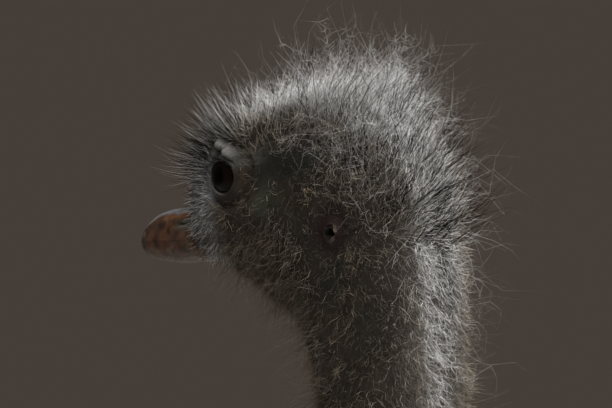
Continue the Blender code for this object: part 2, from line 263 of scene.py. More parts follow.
def mesh_arrays(mesh):
    """A mesh's points and vertex normals."""
    verts = np.empty(len(mesh.vertices) * 3, np.float32)
    mesh.vertices.foreach_get("co", verts)
    normals = np.empty(len(mesh.vertices) * 3, np.float32)
    mesh.vertex_normals.foreach_get("vector", normals)
    return verts.reshape(-1, 3).astype(float), normals.reshape(-1, 3).astype(float)


def edge_array(mesh):
    edges = np.empty(len(mesh.edges) * 2, np.int32)
    mesh.edges.foreach_get("vertices", edges)
    return edges.reshape(-1, 2)


def relaxed(verts, edges, strength, rounds):
    """Points moved towards the mean of their neighbours, by a strength for each point."""
    count = np.bincount(edges.ravel(), minlength=len(verts)).astype(float)[:, None]
    for _ in range(rounds):
        total = np.empty_like(verts)
        for k in range(3):
            total[:, k] = np.bincount(edges[:, 0], verts[edges[:, 1], k], len(verts))
            total[:, k] += np.bincount(edges[:, 1], verts[edges[:, 0], k], len(verts))
        verts = verts + (total / np.maximum(count, 1) - verts) * strength[:, None]
    return verts


# ---------------------------------------------------------------- the skin's shape

FLESH = [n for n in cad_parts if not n.startswith(("bill", "claw"))]
VOXEL = 0.0119
# Magnification before the remesh, so that one mesh is fine on the head and coarse on the trunk.
HEAD_SCALE = 7.5
LEG_SCALE = 2.6
NECK_BAND = (1.28, 1.76)
LEG_BAND = (0.74, 0.46)
OVERLAP = 0.0006  # how far each node's flesh is swelled, so that neighbours join
# Where the neck and the legs stand, and a height between the two.
NECK_Y = -0.49
LEG_Y = 0.15
TRUNK_Z = 1.0


def magnification(z):
    """How much larger the flesh is made before the remesh, at each height."""
    up = np.clip((z - NECK_BAND[0]) / (NECK_BAND[1] - NECK_BAND[0]), 0, 1)
    down = np.clip((LEG_BAND[0] - z) / (LEG_BAND[0] - LEG_BAND[1]), 0, 1)
    return HEAD_SCALE**up * LEG_SCALE**down


WARP_Z = np.linspace(-0.1, 2.1, 4401)
WARP_STEPS = np.diff(WARP_Z) * magnification((WARP_Z[1:] + WARP_Z[:-1]) / 2)
WARP_TO = np.concatenate([[0], np.cumsum(WARP_STEPS)])


def warp_centre(z):
    """The y that the magnification leaves in place: the neck's line above, the legs' below."""
    return np.where(z > TRUNK_Z, NECK_Y, LEG_Y)


def warped(points):
    """World points taken to the magnified space of the remesh."""
    x, y, z = points.T
    scale, centre = magnification(z), warp_centre(z)
    return np.column_stack([x * scale, centre + (y - centre) * scale, np.interp(z, WARP_Z, WARP_TO)])


def unwarped(points):
    """Points of the magnified space taken back to the world."""
    z = np.interp(points[:, 2], WARP_TO, WARP_Z)
    scale, centre = magnification(z), warp_centre(z)
    return np.column_stack([points[:, 0] / scale, centre + (points[:, 1] - centre) / scale, z])


def flesh_of(name, verts, normals):
    """The points of one CAD node, drawn in to the flesh that its plumes hide."""
    if name.startswith("wing"):
        middle = np.array((np.sign(verts[0, 0]) * 0.17, -0.02, 1.03))
        return middle + (verts - middle) * (0.42, 0.62, 0.42)
    if name == "tail":
        root = np.array((0.0, TAIL[0][1], 1.08))
        return root + (verts - root) * (0.55, 0.62, 0.50)
    return verts + normals * OVERLAP


# Where the skin reaches on to the bill: forward at its middle height, how far over the horn.
SLEEVE = ((0.020, 0.0034), (0.030, 0.0026), (0.0375, 0.0019), (0.0415, 0.0013))
SLEEVE_LEAN = 0.35
SLEEVE_SIDES = 40


def add_sleeve(bm):
    """A short tube of flesh round the bill's root."""
    angle = np.linspace(0, TAU, SLEEVE_SIDES, endpoint=False)
    rings = []
    for forward, over in SLEEVE:
        ridge, under, half = (np.interp(forward, BILL[:, 0], BILL[:, k]) for k in (1, 3, 4))
        middle, tall = (ridge + under) / 2, (ridge - under) / 2 + over
        x = np.sign(np.cos(angle)) * np.abs(np.cos(angle)) ** 0.9 * (half + over)
        u = middle + np.sin(angle) * tall
        places = np.column_stack([x, HEAD_Y - forward - SLEEVE_LEAN * (u - middle), EYE_Z + u])
        rings.append([bm.verts.new(place) for place in warped(places)])
    for low, high in zip(rings, rings[1:]):
        for k in range(SLEEVE_SIDES):
            j = (k + 1) % SLEEVE_SIDES
            bm.faces.new((low[k], low[j], high[j], high[k]))
    bm.faces.new(rings[0])
    bm.faces.new(rings[-1])
    bmesh.ops.recalc_face_normals(bm, faces=bm.faces[:])


def joined_flesh():
    """All the flesh in one warped mesh of overlapping closed pieces."""
    whole = bmesh.new()
    add_sleeve(whole)
    for name in FLESH:
        bm = bmesh.new()
        bm.from_mesh(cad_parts[name].data)
        bmesh.ops.remove_doubles(bm, verts=bm.verts[:], dist=1e-5)
        bmesh.ops.triangulate(bm, faces=bm.faces[:])
        if name in ("head", "neck_upper", "trunk", "eye_left", "eye_right"):
            bmesh.ops.subdivide_edges(bm, edges=bm.edges[:], cuts=1, use_grid_fill=True)
        bm.normal_update()
        verts = np.array([v.co for v in bm.verts])
        normals = np.array([v.normal for v in bm.verts])
        for vert, place in zip(bm.verts, warped(flesh_of(name, verts, normals))):
            vert.co = place
        mesh = bpy.data.meshes.new("flesh_part")
        bm.to_mesh(mesh)
        bm.free()
        whole.from_mesh(mesh)
        bpy.data.meshes.remove(mesh)
    mesh = bpy.data.meshes.new("flesh")
    whole.to_mesh(mesh)
    whole.free()
    return mesh


def remeshed_flesh():
    """One closed surface through all the flesh, in true size again."""
    obj = bpy.data.objects.new("flesh", joined_flesh())
    bpy.context.scene.collection.objects.link(obj)
    remesh = obj.modifiers.new("remesh", "REMESH")
    remesh.mode = "VOXEL"
    remesh.voxel_size = VOXEL
    graph = bpy.context.evaluated_depsgraph_get()
    mesh = bpy.data.meshes.new_from_object(obj.evaluated_get(graph))
    bpy.data.objects.remove(obj)
    verts, _ = mesh_arrays(mesh)
    write_points(mesh, unwarped(verts))
    return mesh


def write_points(mesh, verts):
    mesh.vertices.foreach_set("co", np.ascontiguousarray(verts, np.float32).ravel())
    mesh.update()


def coat_depth(points, normals):
    """How far the coat stands over the skin at each point of the CAD outline."""
    f, _, _ = head_terms(points)
    run, _, over, _ = on_spine(points)
    top = np.clip(dot(normals, over)[:, 0], 0, 1)
    under = np.clip(-dot(normals, over)[:, 0], 0, 1)
    face = 1.2 * MM + 11 * MM * top**1.3 * smooth(0.036, 0.0, f)
    skull = 3.0 * MM + 14 * MM * top**1.2
    neck = 4.0 * MM + 25.5 * MM * top**1.1 + 4.0 * MM * under
    head = mixed(skull, face, smooth(-0.012, 0.012, f))
    depth = mixed(head, neck, smooth(RUN_NAPE - 0.050, RUN_NAPE + 0.005, run))
    depth = mixed(depth, 45 * MM, smooth(RUN_NECK_END - 0.22, RUN_NECK_END + 0.02, run))
    return mixed(depth, 1.0 * MM, smooth(0.84, 0.74, points[:, 2]))


# ---- head sculpture

EYEBALL = 0.0150
LID_THICK = 0.0012
LID_REACH = (0.0125, 0.0195)
EYE_MIDDLE_X = EYE_X + 0.0002
# The gap between the lids, seen from the side: how far its outline is from its middle at each
# angle, counted from straight forward over the top. The upper lid droops towards the rear.
GAP_MIDDLE = (EYE_F + 0.0016, -0.0004)
GAP_ANGLES = np.radians((0, 30, 50, 70, 90, 120, 150, 180, 225, 270, 315, 360))
GAP_REACH = np.array((8.6, 9.3, 9.4, 8.6, 8.0, 7.9, 8.5, 8.7, 8.4, 8.0, 8.2, 8.6)) * MM
FOLD_MIDDLE = (0.0050, 0.0144)
FOLD_TILT = math.radians(21)
FOLD_HALF = 0.0110


def gap_share(f, u):
    """Distance from the middle of the gap between the lids, as a share of its outline's."""
    df, du = f - GAP_MIDDLE[0], u - GAP_MIDDLE[1]
    outline = np.interp(np.mod(np.arctan2(du, df), TAU), GAP_ANGLES, GAP_REACH)
    return np.hypot(df, du) / outline


def fold_terms(f, u):
    """The fold over the upper lid: places along and across it, its strength, and 0 past its ends."""
    c, s = math.cos(FOLD_TILT), math.sin(FOLD_TILT)
    df, du = f - FOLD_MIDDLE[0], u - FOLD_MIDDLE[1]
    along, across = df * c + du * s, du * c - df * s
    ends = smooth(FOLD_HALF + 0.002, FOLD_HALF - 0.003, np.abs(along))
    return along, across, bump_at(across, 0, 0.0023) * ends, ends


def fold_wave(along, across):
    """The fine wrinkles of the fold, from -1 to 1."""
    return np.sin(along / 0.0021 * TAU + 2.0 * np.sin(across / 0.002))


def sculpt_eye(points):
    """Lids that lie on the eyeball, the fold over the upper lid, and the socket in the gap."""
    f, u, x = head_terms(points)
    near = (np.hypot(f - EYE_F, u) < 0.028) & (x > 0.010)
    q = points[near]
    f, u, x = f[near], u[near], x[near]
    reach = np.hypot(f - EYE_F, u)
    share = gap_share(f, u)
    along, across, fold, ends = fold_terms(f, u)
    ball = np.sqrt(np.maximum((EYEBALL + LID_THICK) ** 2 - reach**2, 4e-6)) + EYE_MIDDLE_X
    lid = mixed(ball, x, smooth(*LID_REACH, reach))
    rim = 0.0006 * bump_at(share, 1.09, 0.06) - 0.0005 * bump_at(share, 1.26, 0.06)
    wrinkles = fold_wave(along, across) * 0.00050
    creases = 0.0016 * bump_at(across, 0.0040, 0.0009) + 0.0009 * bump_at(across, -0.0034, 0.0007)
    creases = creases + 0.0004 * bump_at(across, -0.0056, 0.0006)
    lid = lid + rim + fold * (0.0028 + wrinkles) - creases * ends
    below = smooth(0.2, -0.6, u / 0.015)
    bag = bump_at(reach, 0.0155, 0.0022) * below
    lid = lid + 0.0008 * bag - 0.0006 * bump_at(reach, 0.0188, 0.0011) * below
    socket = EYE_MIDDLE_X + np.sqrt(np.maximum(EYEBALL**2 - reach**2, 0)) - 0.0035
    made = mixed(socket, lid, smooth(0.97, 1.03, share))
    q[:, 0] = np.sign(q[:, 0]) * made
    points[near] = q
    return points


def sculpt_head(points, normals):
    """Brow, lore, cheek, gape and ear, worked into the bare head."""
    f, u, _ = head_terms(points)
    out = np.zeros(len(points))
    side = smooth(0.3, 0.8, np.abs(normals[:, 0]))
    out += 0.0018 * bump_at(u, 0.0225, 0.0040) * bump_at(f, 0.004, 0.015) * side
    out -= 0.0020 * bump_at(u, -0.010, 0.010) * bump_at(f, 0.0260, 0.0065) * side
    out -= 0.0016 * bump_at(u, 0.004, 0.012) * bump_at(f, -0.026, 0.008) * side
    out += 0.0020 * bump_at(u, -0.024, 0.010) * bump_at(f, -0.010, 0.024) * side
    gape = -0.033 + 0.06 * (0.036 - f) * smooth(0.036, 0.0, f)
    open_there = smooth(0.006, 0.014, f) * side
    out -= 0.0013 * bump_at(u, gape, 0.0012) * open_there
    out += 0.0007 * (bump_at(u, gape + 0.003, 0.0016) + bump_at(u, gape - 0.003, 0.0016)) * open_there
    out += 0.0005 * value_noise(points, 0.0045, 8) * smooth(-0.02, 0.01, f)
    return sculpt_ear(points + normals * out[:, None], normals)


EAR_F = HEAD_Y - EAR[1]
EAR_U = EAR[2] - EYE_Z


def ear_terms(f, u):
    df, du = f - EAR_F, u - EAR_U
    return np.hypot(df / 0.8, du), np.arctan2(du, df)


def sculpt_ear(points, normals):
    """A small pit with a thin fleshy rim behind it, in a shallow hollow."""
    f, u, _ = head_terms(points)
    reach, angle = ear_terms(f, u)
    side = smooth(0.2, 0.7, np.abs(normals[:, 0]))
    wobble = 1 + 0.12 * np.sin(3 * angle + 0.6) + 0.08 * np.sin(5 * angle)
    pit = -0.0060 * smooth(0.0040, 0.0024, reach * wobble)
    rim = 0.0016 * ear_rim(reach * wobble, angle)
    hollow = -0.0020 * bump_at(reach, 0.0100, 0.0050)
    return points + normals * ((pit + rim + hollow) * side)[:, None]


def ear_rim(reach, angle):
    behind = np.clip(0.5 - 0.5 * np.cos(angle - math.radians(15)), 0, 1) ** 4
    return bump_at(reach, 0.0048, 0.0007) * behind


def refined(mesh, spots):
    """Halves the edges of the skin round each (centre, radius)."""
    bm = bmesh.new()
    bm.from_mesh(mesh)
    edges = [
        e
        for e in bm.edges
        if any((e.verts[0].co - c).length < r or (e.verts[1].co - c).length < r for c, r in spots)
    ]
    bmesh.ops.subdivide_edges(bm, edges=edges, cuts=1, use_grid_fill=True)
    bm.to_mesh(mesh)
    bm.free()
    mesh.update()


def refine_eyes_and_ears(mesh):
    """Three rounds of finer skin, each closer round the eyes, ears and lores."""
    eyes = [Vector((side * 0.031, HEAD_Y - EYE_F, EYE_Z)) for side in (1, -1)]
    ears = [Vector((side * 0.034, EAR[1], EAR[2])) for side in (1, -1)]
    lores = [Vector((side * 0.022, HEAD_Y - 0.030, EYE_Z - 0.018)) for side in (1, -1)]
    for eye_reach, ear_reach, lore_reach in ((0.0240, 0.0140, 0.020), (0.0190, 0.0110, 0), (0.0120, 0, 0)):
        reaches = ((eyes, eye_reach), (ears, ear_reach), (lores, lore_reach))
        refined(mesh, [(centre, reach) for centres, reach in reaches for centre in centres if reach])


def sculpt_legs(points, normals):
    """Scutes down the front of the shanks and over the toes, and folds round the hocks."""
    z = points[:, 2]
    front = np.clip(-normals[:, 1], 0, 1)
    pitch = 0.019
    step = np.mod(z / pitch, 1.0)
    plate = (step**1.5 - 0.25) * 0.0022
    shank = smooth(0.07, 0.10, z) * smooth(0.445, 0.40, z)
    out = plate * smooth(0.35, 0.75, front) * shank
    toe_step = np.mod(points[:, 1] / 0.0125, 1.0)
    top = np.clip(normals[:, 2], 0, 1)
    out += (toe_step**1.5 - 0.3) * 0.0018 * smooth(0.4, 0.8, top) * smooth(0.075, 0.055, z)
    hock = bump_at(z, HOCK_Z - 0.008, 0.040)
    out += np.sin(z / 0.0085 * TAU) * 0.0008 * hock
    thigh = smooth(0.50, 0.56, z) * smooth(0.80, 0.70, z)
    out += value_noise(points, 0.016, 5) * 0.0022 * thigh
    return points + normals * out[:, None]


def make_skin_mesh():
    mesh = remeshed_flesh()
    verts, _ = mesh_arrays(mesh)
    edges = edge_array(mesh)
    legs = smooth(0.56, 0.44, verts[:, 2])
    f, _, _ = head_terms(verts)
    front = smooth(0.012, 0.028, f) * (verts[:, 2] > 1.6)
    verts = relaxed(verts, edges, mixed(0.9, 0.0, legs) * (1 - 0.85 * front), 60)
    verts = relaxed(verts, edges, mixed(0.0, 0.5, legs), 5)
    write_points(mesh, verts)
    verts, normals = mesh_arrays(mesh)
    verts = verts - normals * coat_depth(verts, normals)[:, None]
    verts = relaxed(verts, edges, np.where(verts[:, 2] > 0.6, 0.6, 0.0) * (1 - front), 8)
    write_points(mesh, verts)
    refine_eyes_and_ears(mesh)
    verts, normals = mesh_arrays(mesh)
    verts = sculpt_head(verts, normals)
    verts = sculpt_legs(verts, normals)
    verts = sculpt_eye(verts)
    write_points(mesh, verts)
    mesh.polygons.foreach_set("use_smooth", np.ones(len(mesh.polygons), bool))
    return mesh


# ---------------------------------------------------------------- colours shared by skin and coat

GREY_SKIN = np.array((0.030, 0.025, 0.020))
BLUE_SKIN = np.array((0.118, 0.123, 0.130))
DARK_SKIN = np.array((0.015, 0.017, 0.014))
PURPLE_SKIN = np.array((0.022, 0.013, 0.013))
OLIVE_SKIN = np.array((0.042, 0.046, 0.034))
PALE_LID = np.array((0.210, 0.210, 0.203))
PINK_SKIN = np.array((0.330, 0.235, 0.205))
LEG_SKIN = np.array((0.215, 0.165, 0.140))
SCUTE_SKIN = np.array((0.150, 0.120, 0.100))
RED_SPOT = np.array((0.052, 0.033, 0.023))
NECK_SKIN = np.array((0.090, 0.071, 0.061))
WHITE_DOWN = np.array((0.770, 0.775, 0.780))
TAN_DOWN = np.array((0.270, 0.226, 0.170))
GREY_DOWN = np.array((0.225, 0.203, 0.170))
WARM_DOWN = np.array((0.250, 0.172, 0.105))
BROW_DOWN = np.array((0.230, 0.228, 0.222))
BROWN_DOWN = np.array((0.085, 0.058, 0.036))
BLACK_DOWN = np.array((0.016, 0.013, 0.012))
BODY_BROWN = np.array((0.235, 0.192, 0.155))
BODY_GREY = np.array((0.350, 0.308, 0.262))
PALE_PLUME = np.array((0.430, 0.388, 0.330))
SIDE_X = 0.012  # marks of the head's sides stay this far from its middle plane


def head_darkness(f, u):
    """Where the head is nearly bare and dark: behind the eye, and round and below the ear."""
    behind_eye = smooth(-0.016, -0.022, f) * smooth(-0.066, -0.052, f) * bump_at(u, 0.006, 0.0085)
    at_ear = bump_at(f, EAR_F + 0.004, 0.012) * bump_at(u, EAR_U - 0.002, 0.011)
    below_ear = bump_at(f, EAR_F - 0.002, 0.010) * bump_at(u, EAR_U - 0.024, 0.014)
    streak = bump_at(f, EAR_F - 0.022, 0.008) * bump_at(u, EAR_U - 0.050, 0.030)
    return np.clip(behind_eye + 0.9 * at_ear + 0.8 * below_ear + 0.5 * streak, 0, 1)


def head_skin_colour(colour, points, normals, mottle):
    """Blue-grey lores, an olive cheek, dark patches and a purple ear with painted shade in its pit and a pale
    rim.
    """
    f, u, x = head_terms(points)
    out = x > SIDE_X
    face = smooth(0.006, 0.016, f) * smooth(0.020, 0.006, u) * (points[:, 2] > 1.6)
    cheek = bump_at(f, -0.024, 0.012) * bump_at(u, -0.013, 0.011) * smooth(-0.3, 0.3, mottle)
    colour = painted(colour, BLUE_SKIN, face)
    colour = painted(colour, OLIVE_SKIN, cheek * out)
    colour = painted(colour, DARK_SKIN, head_darkness(f, u) * 0.9 * out)
    reach, angle = ear_terms(f, u)
    on_side = np.abs(normals[:, 0]) > 0.25
    colour = painted(colour, PURPLE_SKIN, smooth(0.018, 0.008, reach) * on_side)
    # Painted shade in the ear's pit.
    colour = painted(colour, PURPLE_SKIN * 0.3, smooth(0.0045, 0.0030, reach) * on_side)
    return painted(colour, PINK_SKIN * 0.55, ear_rim(reach, angle) * on_side)


def eye_skin_colour(colour, f, u, x):
    """Red-brown spots, a pale rim in front, the pale fold with painted shade in its wrinkles, and painted
    shade in the creases beside it.
    """
    out = x > SIDE_X
    share = gap_share(f, u)
    along, across, fold, ends = fold_terms(f, u)
    rear = bump_at(f, -0.0135, 0.0050) * bump_at(u, -0.003, 0.011)
    lid = smooth(1.24, 1.12, share) * smooth(-0.10, 0.60, (f - EYE_F) / 0.009 - 0.25 * u / 0.009 - 0.15)
    upper = smooth(0.0165, 0.0145, np.hypot(f - EYE_F, u)) * smooth(0.003, 0.007, u)
    patch = bump_at(f, -0.017, 0.006) * bump_at(u, 0.0100, 0.0035)
    pale_fold = np.clip(fold * 1.3, 0, 1) * mixed(0.45, 1.0, smooth(-0.012, -0.002, along))
    # Painted shade in the troughs of the fold's wrinkles.
    pale_fold = pale_fold * mixed(0.60, 1.0, smooth(-0.8, 0.3, fold_wave(along, across)))
    spot = bump_at(f, -0.0085, 0.0050) * bump_at(u, -0.0135, 0.0030)
    # Painted shade along the creases over and under the fold.
    crease_shade = np.clip(bump_at(across, 0.0042, 0.0011) + 0.6 * bump_at(across, -0.0036, 0.0008), 0, 1) * ends
    colour = painted(colour, RED_SPOT, rear * out)
    colour = painted(colour, PALE_LID * 0.40, patch * 0.8 * out)
    colour = painted(colour, PALE_LID * 0.9, np.clip(lid, 0, 1) * out)
    colour = painted(colour, PALE_LID * 0.30, np.clip(upper * 0.8, 0, 1) * out)
    colour = painted(colour, PALE_LID * 1.6, pale_fold * out)
    colour = painted(colour, RED_SPOT * 0.15, bump_at(share, 1.02, 0.05) * out * 0.8)
    colour = painted(colour, RED_SPOT * 0.5, spot * out)
    return painted(colour, DARK_SKIN * 0.2, crease_shade * out)


def body_skin_colour(colour, points, normals):
    """Brown neck and dark trunk, pink thighs, and shanks with darker scutes in front."""
    z = points[:, 2]
    run, _, _, _ = on_spine(points)
    shank = smooth(0.53, 0.47, z)
    front = smooth(0.35, 0.75, np.clip(-normals[:, 1], 0, 1) + np.clip(normals[:, 2], 0, 1))
    colour = painted(colour, NECK_SKIN, smooth(PHOTO_END - 0.02, PHOTO_END - 0.30, z))
    colour = painted(colour, BODY_BROWN * 0.28, smooth(RUN_NECK_END - 0.14, RUN_NECK_END, run))
    colour = painted(colour, PINK_SKIN * 0.85, smooth(0.88, 0.78, z) * (run > RUN_NECK_END))
    colour = painted(colour, LEG_SKIN, shank)
    return painted(colour, SCUTE_SKIN, shank * front * 0.7)


def skin_colour(points, normals):
    """The bare skin's colour from head to toes, lightly mottled."""
    mottle = value_noise(points, 0.006, 1) * 0.5 + value_noise(points, 0.02, 2) * 0.5
    colour = np.tile(GREY_SKIN, (len(points), 1))
    colour = head_skin_colour(colour, points, normals, mottle)
    colour = eye_skin_colour(colour, *head_terms(points))
    colour = body_skin_colour(colour, points, normals)
    return np.clip(colour * (1 + 0.28 * mottle)[:, None], 0, 1)


def white_share(points, run, back, patch, low):
    """Where the down is white: over the crown, and in a band down the nape that fades out."""
    f, _, _ = head_terms(points)
    start = mixed(0.905, 0.850, smooth(RUN_NAPE + 0.02, RUN_NAPE - 0.05, run))
    at_rear = smooth(-0.065, -0.090, f) * smooth(RUN_NAPE + 0.02, RUN_NAPE - 0.02, run)
    start = mixed(start, 0.890, at_rear)
    band = smooth(start, start + 0.075, back + 0.03 * patch)
    return band * smooth(0.020, 0.006, f) * (1 - 0.8 * low)


def side_down_colour(points, run, back, patch, low):
    """The down's colour beside the white: tan and grey, grey at the brow, warm behind the crown."""
    f, u, _ = head_terms(points)
    side = painted(TAN_DOWN, GREY_DOWN, smooth(-0.3, 0.5, patch))
    side = painted(side, GREY_DOWN * 1.35, smooth(0.45, 0.85, back))
    side = painted(side, BROW_DOWN, smooth(-0.004, 0.012, f) * smooth(0.002, 0.014, u))
    warm = bump_at(f, -0.058, 0.017) * bump_at(u, 0.027, 0.009)
    side = painted(side, WARM_DOWN, 0.75 * warm)
    upper = smooth(0.008, 0.018, u) * smooth(-0.085, -0.060, f) * smooth(0.004, -0.012, f)
    side = side * (1 + 0.95 * upper * smooth(-0.5, 0.3, value_noise(points, 0.007, 4)))[:, None]
    side = side * (1 + 0.55 * value_noise(points, 0.0055, 6))[:, None]
    side = side * mixed(1.0, 0.70, smooth(RUN_NAPE - 0.02, RUN_NAPE + 0.05, run) * (1 - low))[:, None]
    return painted(side, BODY_BROWN, low * 0.6)


def down_colour(points, run, round_it):
    """The mean colour of the down: white over the crown and down the nape, tan on the sides."""
    back = np.cos(round_it)
    patch = value_noise(points, 0.012, 3)
    low = smooth(PHOTO_END, PHOTO_END - 0.30, points[:, 2])
    throat = smooth(-0.10, -0.70, back) * (1 - 0.6 * low)
    colour = side_down_colour(points, run, back, patch, low)
    colour = painted(colour, BROWN_DOWN, throat * 0.80)
    colour = painted(colour, WHITE_DOWN, white_share(points, run, back, patch, low))
    f, u, _ = head_terms(points)
    return painted(colour, DARK_SKIN * 1.6, head_darkness(f, u) * 0.8)


# ---------------------------------------------------------------- growing things on the skin


class Skin:
    """The finished skin as arrays, for picking places on it at random."""

    def __init__(self, mesh):
        self.verts, self.normals = mesh_arrays(mesh)
        mesh.calc_loop_triangles()
        tris = np.empty(len(mesh.loop_triangles) * 3, np.int32)
        mesh.loop_triangles.foreach_get("vertices", tris)
        self.tris = tris.reshape(-1, 3)
        a, b, c = (self.verts[self.tris[:, k]] for k in range(3))
        self.centres = (a + b + c) / 3
        self.areas = np.linalg.norm(np.cross(b - a, c - a), axis=1) / 2
        self.face_normals = unit(self.normals[self.tris].sum(1))
        self.run, _, _, self.round_it = on_spine(self.centres)

    def scatter(self, count, density):
        """count places, thick where density is high: points and normals."""
        weight = self.areas * density
        pick = RNG.choice(len(weight), count, p=weight / weight.sum())
        a, b = RNG.random((2, count))
        flip = a + b > 1
        a[flip], b[flip] = 1 - a[flip], 1 - b[flip]
        share = np.column_stack([1 - a - b, a, b])[:, :, None]
        corner = self.tris[pick]
        points = (self.verts[corner] * share).sum(1)
        normals = unit((self.normals[corner] * share).sum(1))
        return points, normals


def unwrap(points):
    """The skin's own unwrap: along the spine and round it, or down and round each leg."""
    run, _, _, round_it = on_spine(points)
    body = np.column_stack([0.5 + round_it / TAU * 0.96, 0.02 + 0.70 * run / SPINE_LENGTH])
    side = np.sign(points[:, 0])
    angle = np.arctan2(points[:, 1] - LEG_Y, np.abs(points[:, 0]) - 0.11)
    leg = np.column_stack([0.5 + side * (0.25 + angle / TAU * 0.45), 0.75 + 0.23 * points[:, 2] / 0.8])
    return np.where((points[:, 2] < 0.72)[:, None], leg, body)


def stretched(places):
    """A piece's own part of the unwrap, stretched over the whole square."""
    low, high = places.min(0), places.max(0)
    return 0.004 + 0.992 * (places - low) / np.maximum(high - low, 1e-6)


UV_PATCH = 0.003


def tuft_uv(root_uv, tuft_of_vertex, around, along):
    """Each vertex's place in its tuft's small patch."""
    uv = root_uv[tuft_of_vertex] + UV_PATCH * (np.column_stack([around, along]) - 0.5)
    return np.clip(uv, 0.0005, 0.9995)


def write_uv(mesh, uv):
    layer = mesh.uv_layers.new(name="OFBake")
    loops = np.empty(len(mesh.loops), np.int32)
    mesh.loops.foreach_get("vertex_index", loops)
    layer.data.foreach_set("uv", np.ascontiguousarray(uv[loops], np.float32).ravel())


def hair_paths(roots, directions, lengths, bend, curl, nodes, turns=(0.6, 1.5)):
    """Points along each hair: an arc that bends, with a random wave that grows to its tip."""
    count = len(roots)
    t = np.linspace(0, 1, nodes)[None, :, None]
    across = unit(np.cross(directions, RNG.normal(size=(count, 3))))
    other = np.cross(directions, across)
    phase = RNG.random((count, 2)) * TAU
    wave = t[:, :, 0] * RNG.uniform(*turns, (count, 1)) * TAU
    amount = (curl * lengths)[:, None] * t[:, :, 0] ** 0.8
    a = (np.sin(wave + phase[:, :1]) - np.sin(phase[:, :1])) * amount
    b = (np.sin(wave * 1.3 + phase[:, 1:]) - np.sin(phase[:, 1:])) * amount
    straight = roots[:, None] + directions[:, None] * lengths[:, None, None] * t
    arc = bend[:, None] * lengths[:, None, None] * t**2
    return straight + arc + across[:, None] * a[:, :, None] + other[:, None] * b[:, :, None]


def tubes(paths, radii, taper=0.75):
    """Three-sided spikes along the paths. Returns points, triangles, hair, side and station."""
    count, nodes = paths.shape[:2]
    heading = unit(np.gradient(paths, axis=1))
    helper = unit(RNG.normal(size=(count, 1, 3)))
    u = unit(np.cross(heading, helper))
    v = np.cross(heading, u)
    t = np.linspace(0, 1, nodes)
    size = radii[:, None] * np.maximum(1 - t, 0)[None] ** taper
    rings = []
    for side in range(3):
        angle = TAU * side / 3
        rings.append(paths + (u * math.cos(angle) + v * math.sin(angle)) * size[:, :, None])
    body = np.stack(rings, axis=2)[:, :-1]
    verts = np.concatenate([body.reshape(count, -1, 3), paths[:, -1:]], axis=1)
    per = 3 * (nodes - 1) + 1
    faces = [(0, 2, 1)]
    for k in range(nodes - 2):
        for side in range(3):
            a, b = 3 * k + side, 3 * k + (side + 1) % 3
            faces += [(a, b, b + 3), (a, b + 3, a + 3)]
    last = 3 * (nodes - 2)
    faces += [(last + side, last + (side + 1) % 3, per - 1) for side in range(3)]
    faces = (np.array(faces)[None] + per * np.arange(count)[:, None, None]).reshape(-1, 3)
    station = np.concatenate([np.repeat(t[:-1], 3), [1.0]])
    around = np.concatenate([np.tile((0.0, 0.5, 1.0), nodes - 1), [0.5]])
    return verts.reshape(-1, 3), faces, per, np.tile(station, count), np.tile(around, count)


def add_hair(name, roots, paths, radii, colours, root_painted_shade, tip_painted_light, taper=0.75, look="down"):
    """One coat piece of many hairs, with painted shade towards the roots and painted light towards the tips.
    """
    verts, faces, per, station, around = tubes(paths, radii, taper)
    mesh = mesh_from_arrays(name, verts, faces)
    hair = np.repeat(np.arange(len(roots)), per)
    # Painted shade deep in the coat at each hair's root, painted light towards its tip.
    shade = mixed(root_painted_shade, tip_painted_light, station**0.8)[:, None]
    set_point_colour(mesh, "tint", colours[hair] * shade)
    places = stretched(unwrap(roots))
    write_uv(mesh, tuft_uv(places, hair, around, station))
    return hand_over(add_object(name, mesh, MATERIALS[look]), "down")


def head_flow(points, run, tangent):
    """Away from the whorl behind each eye, upwards at the back of the head, then down the neck."""
    f, u, _ = head_terms(points)
    away = unit(np.column_stack([np.zeros(len(f)), -(f - WHORL[0]), u - WHORL[1]]))
    upright = smooth(-0.055, -0.085, f) * smooth(-0.040, -0.015, u)
    away = away + np.array((0.0, 0.0, 2.0)) * upright[:, None]
    share = smooth(RUN_NAPE + 0.02, RUN_NAPE - 0.025, run)[:, None]
    return mixed(tangent, away, share)


# ---------------------------------------------------------------- materials


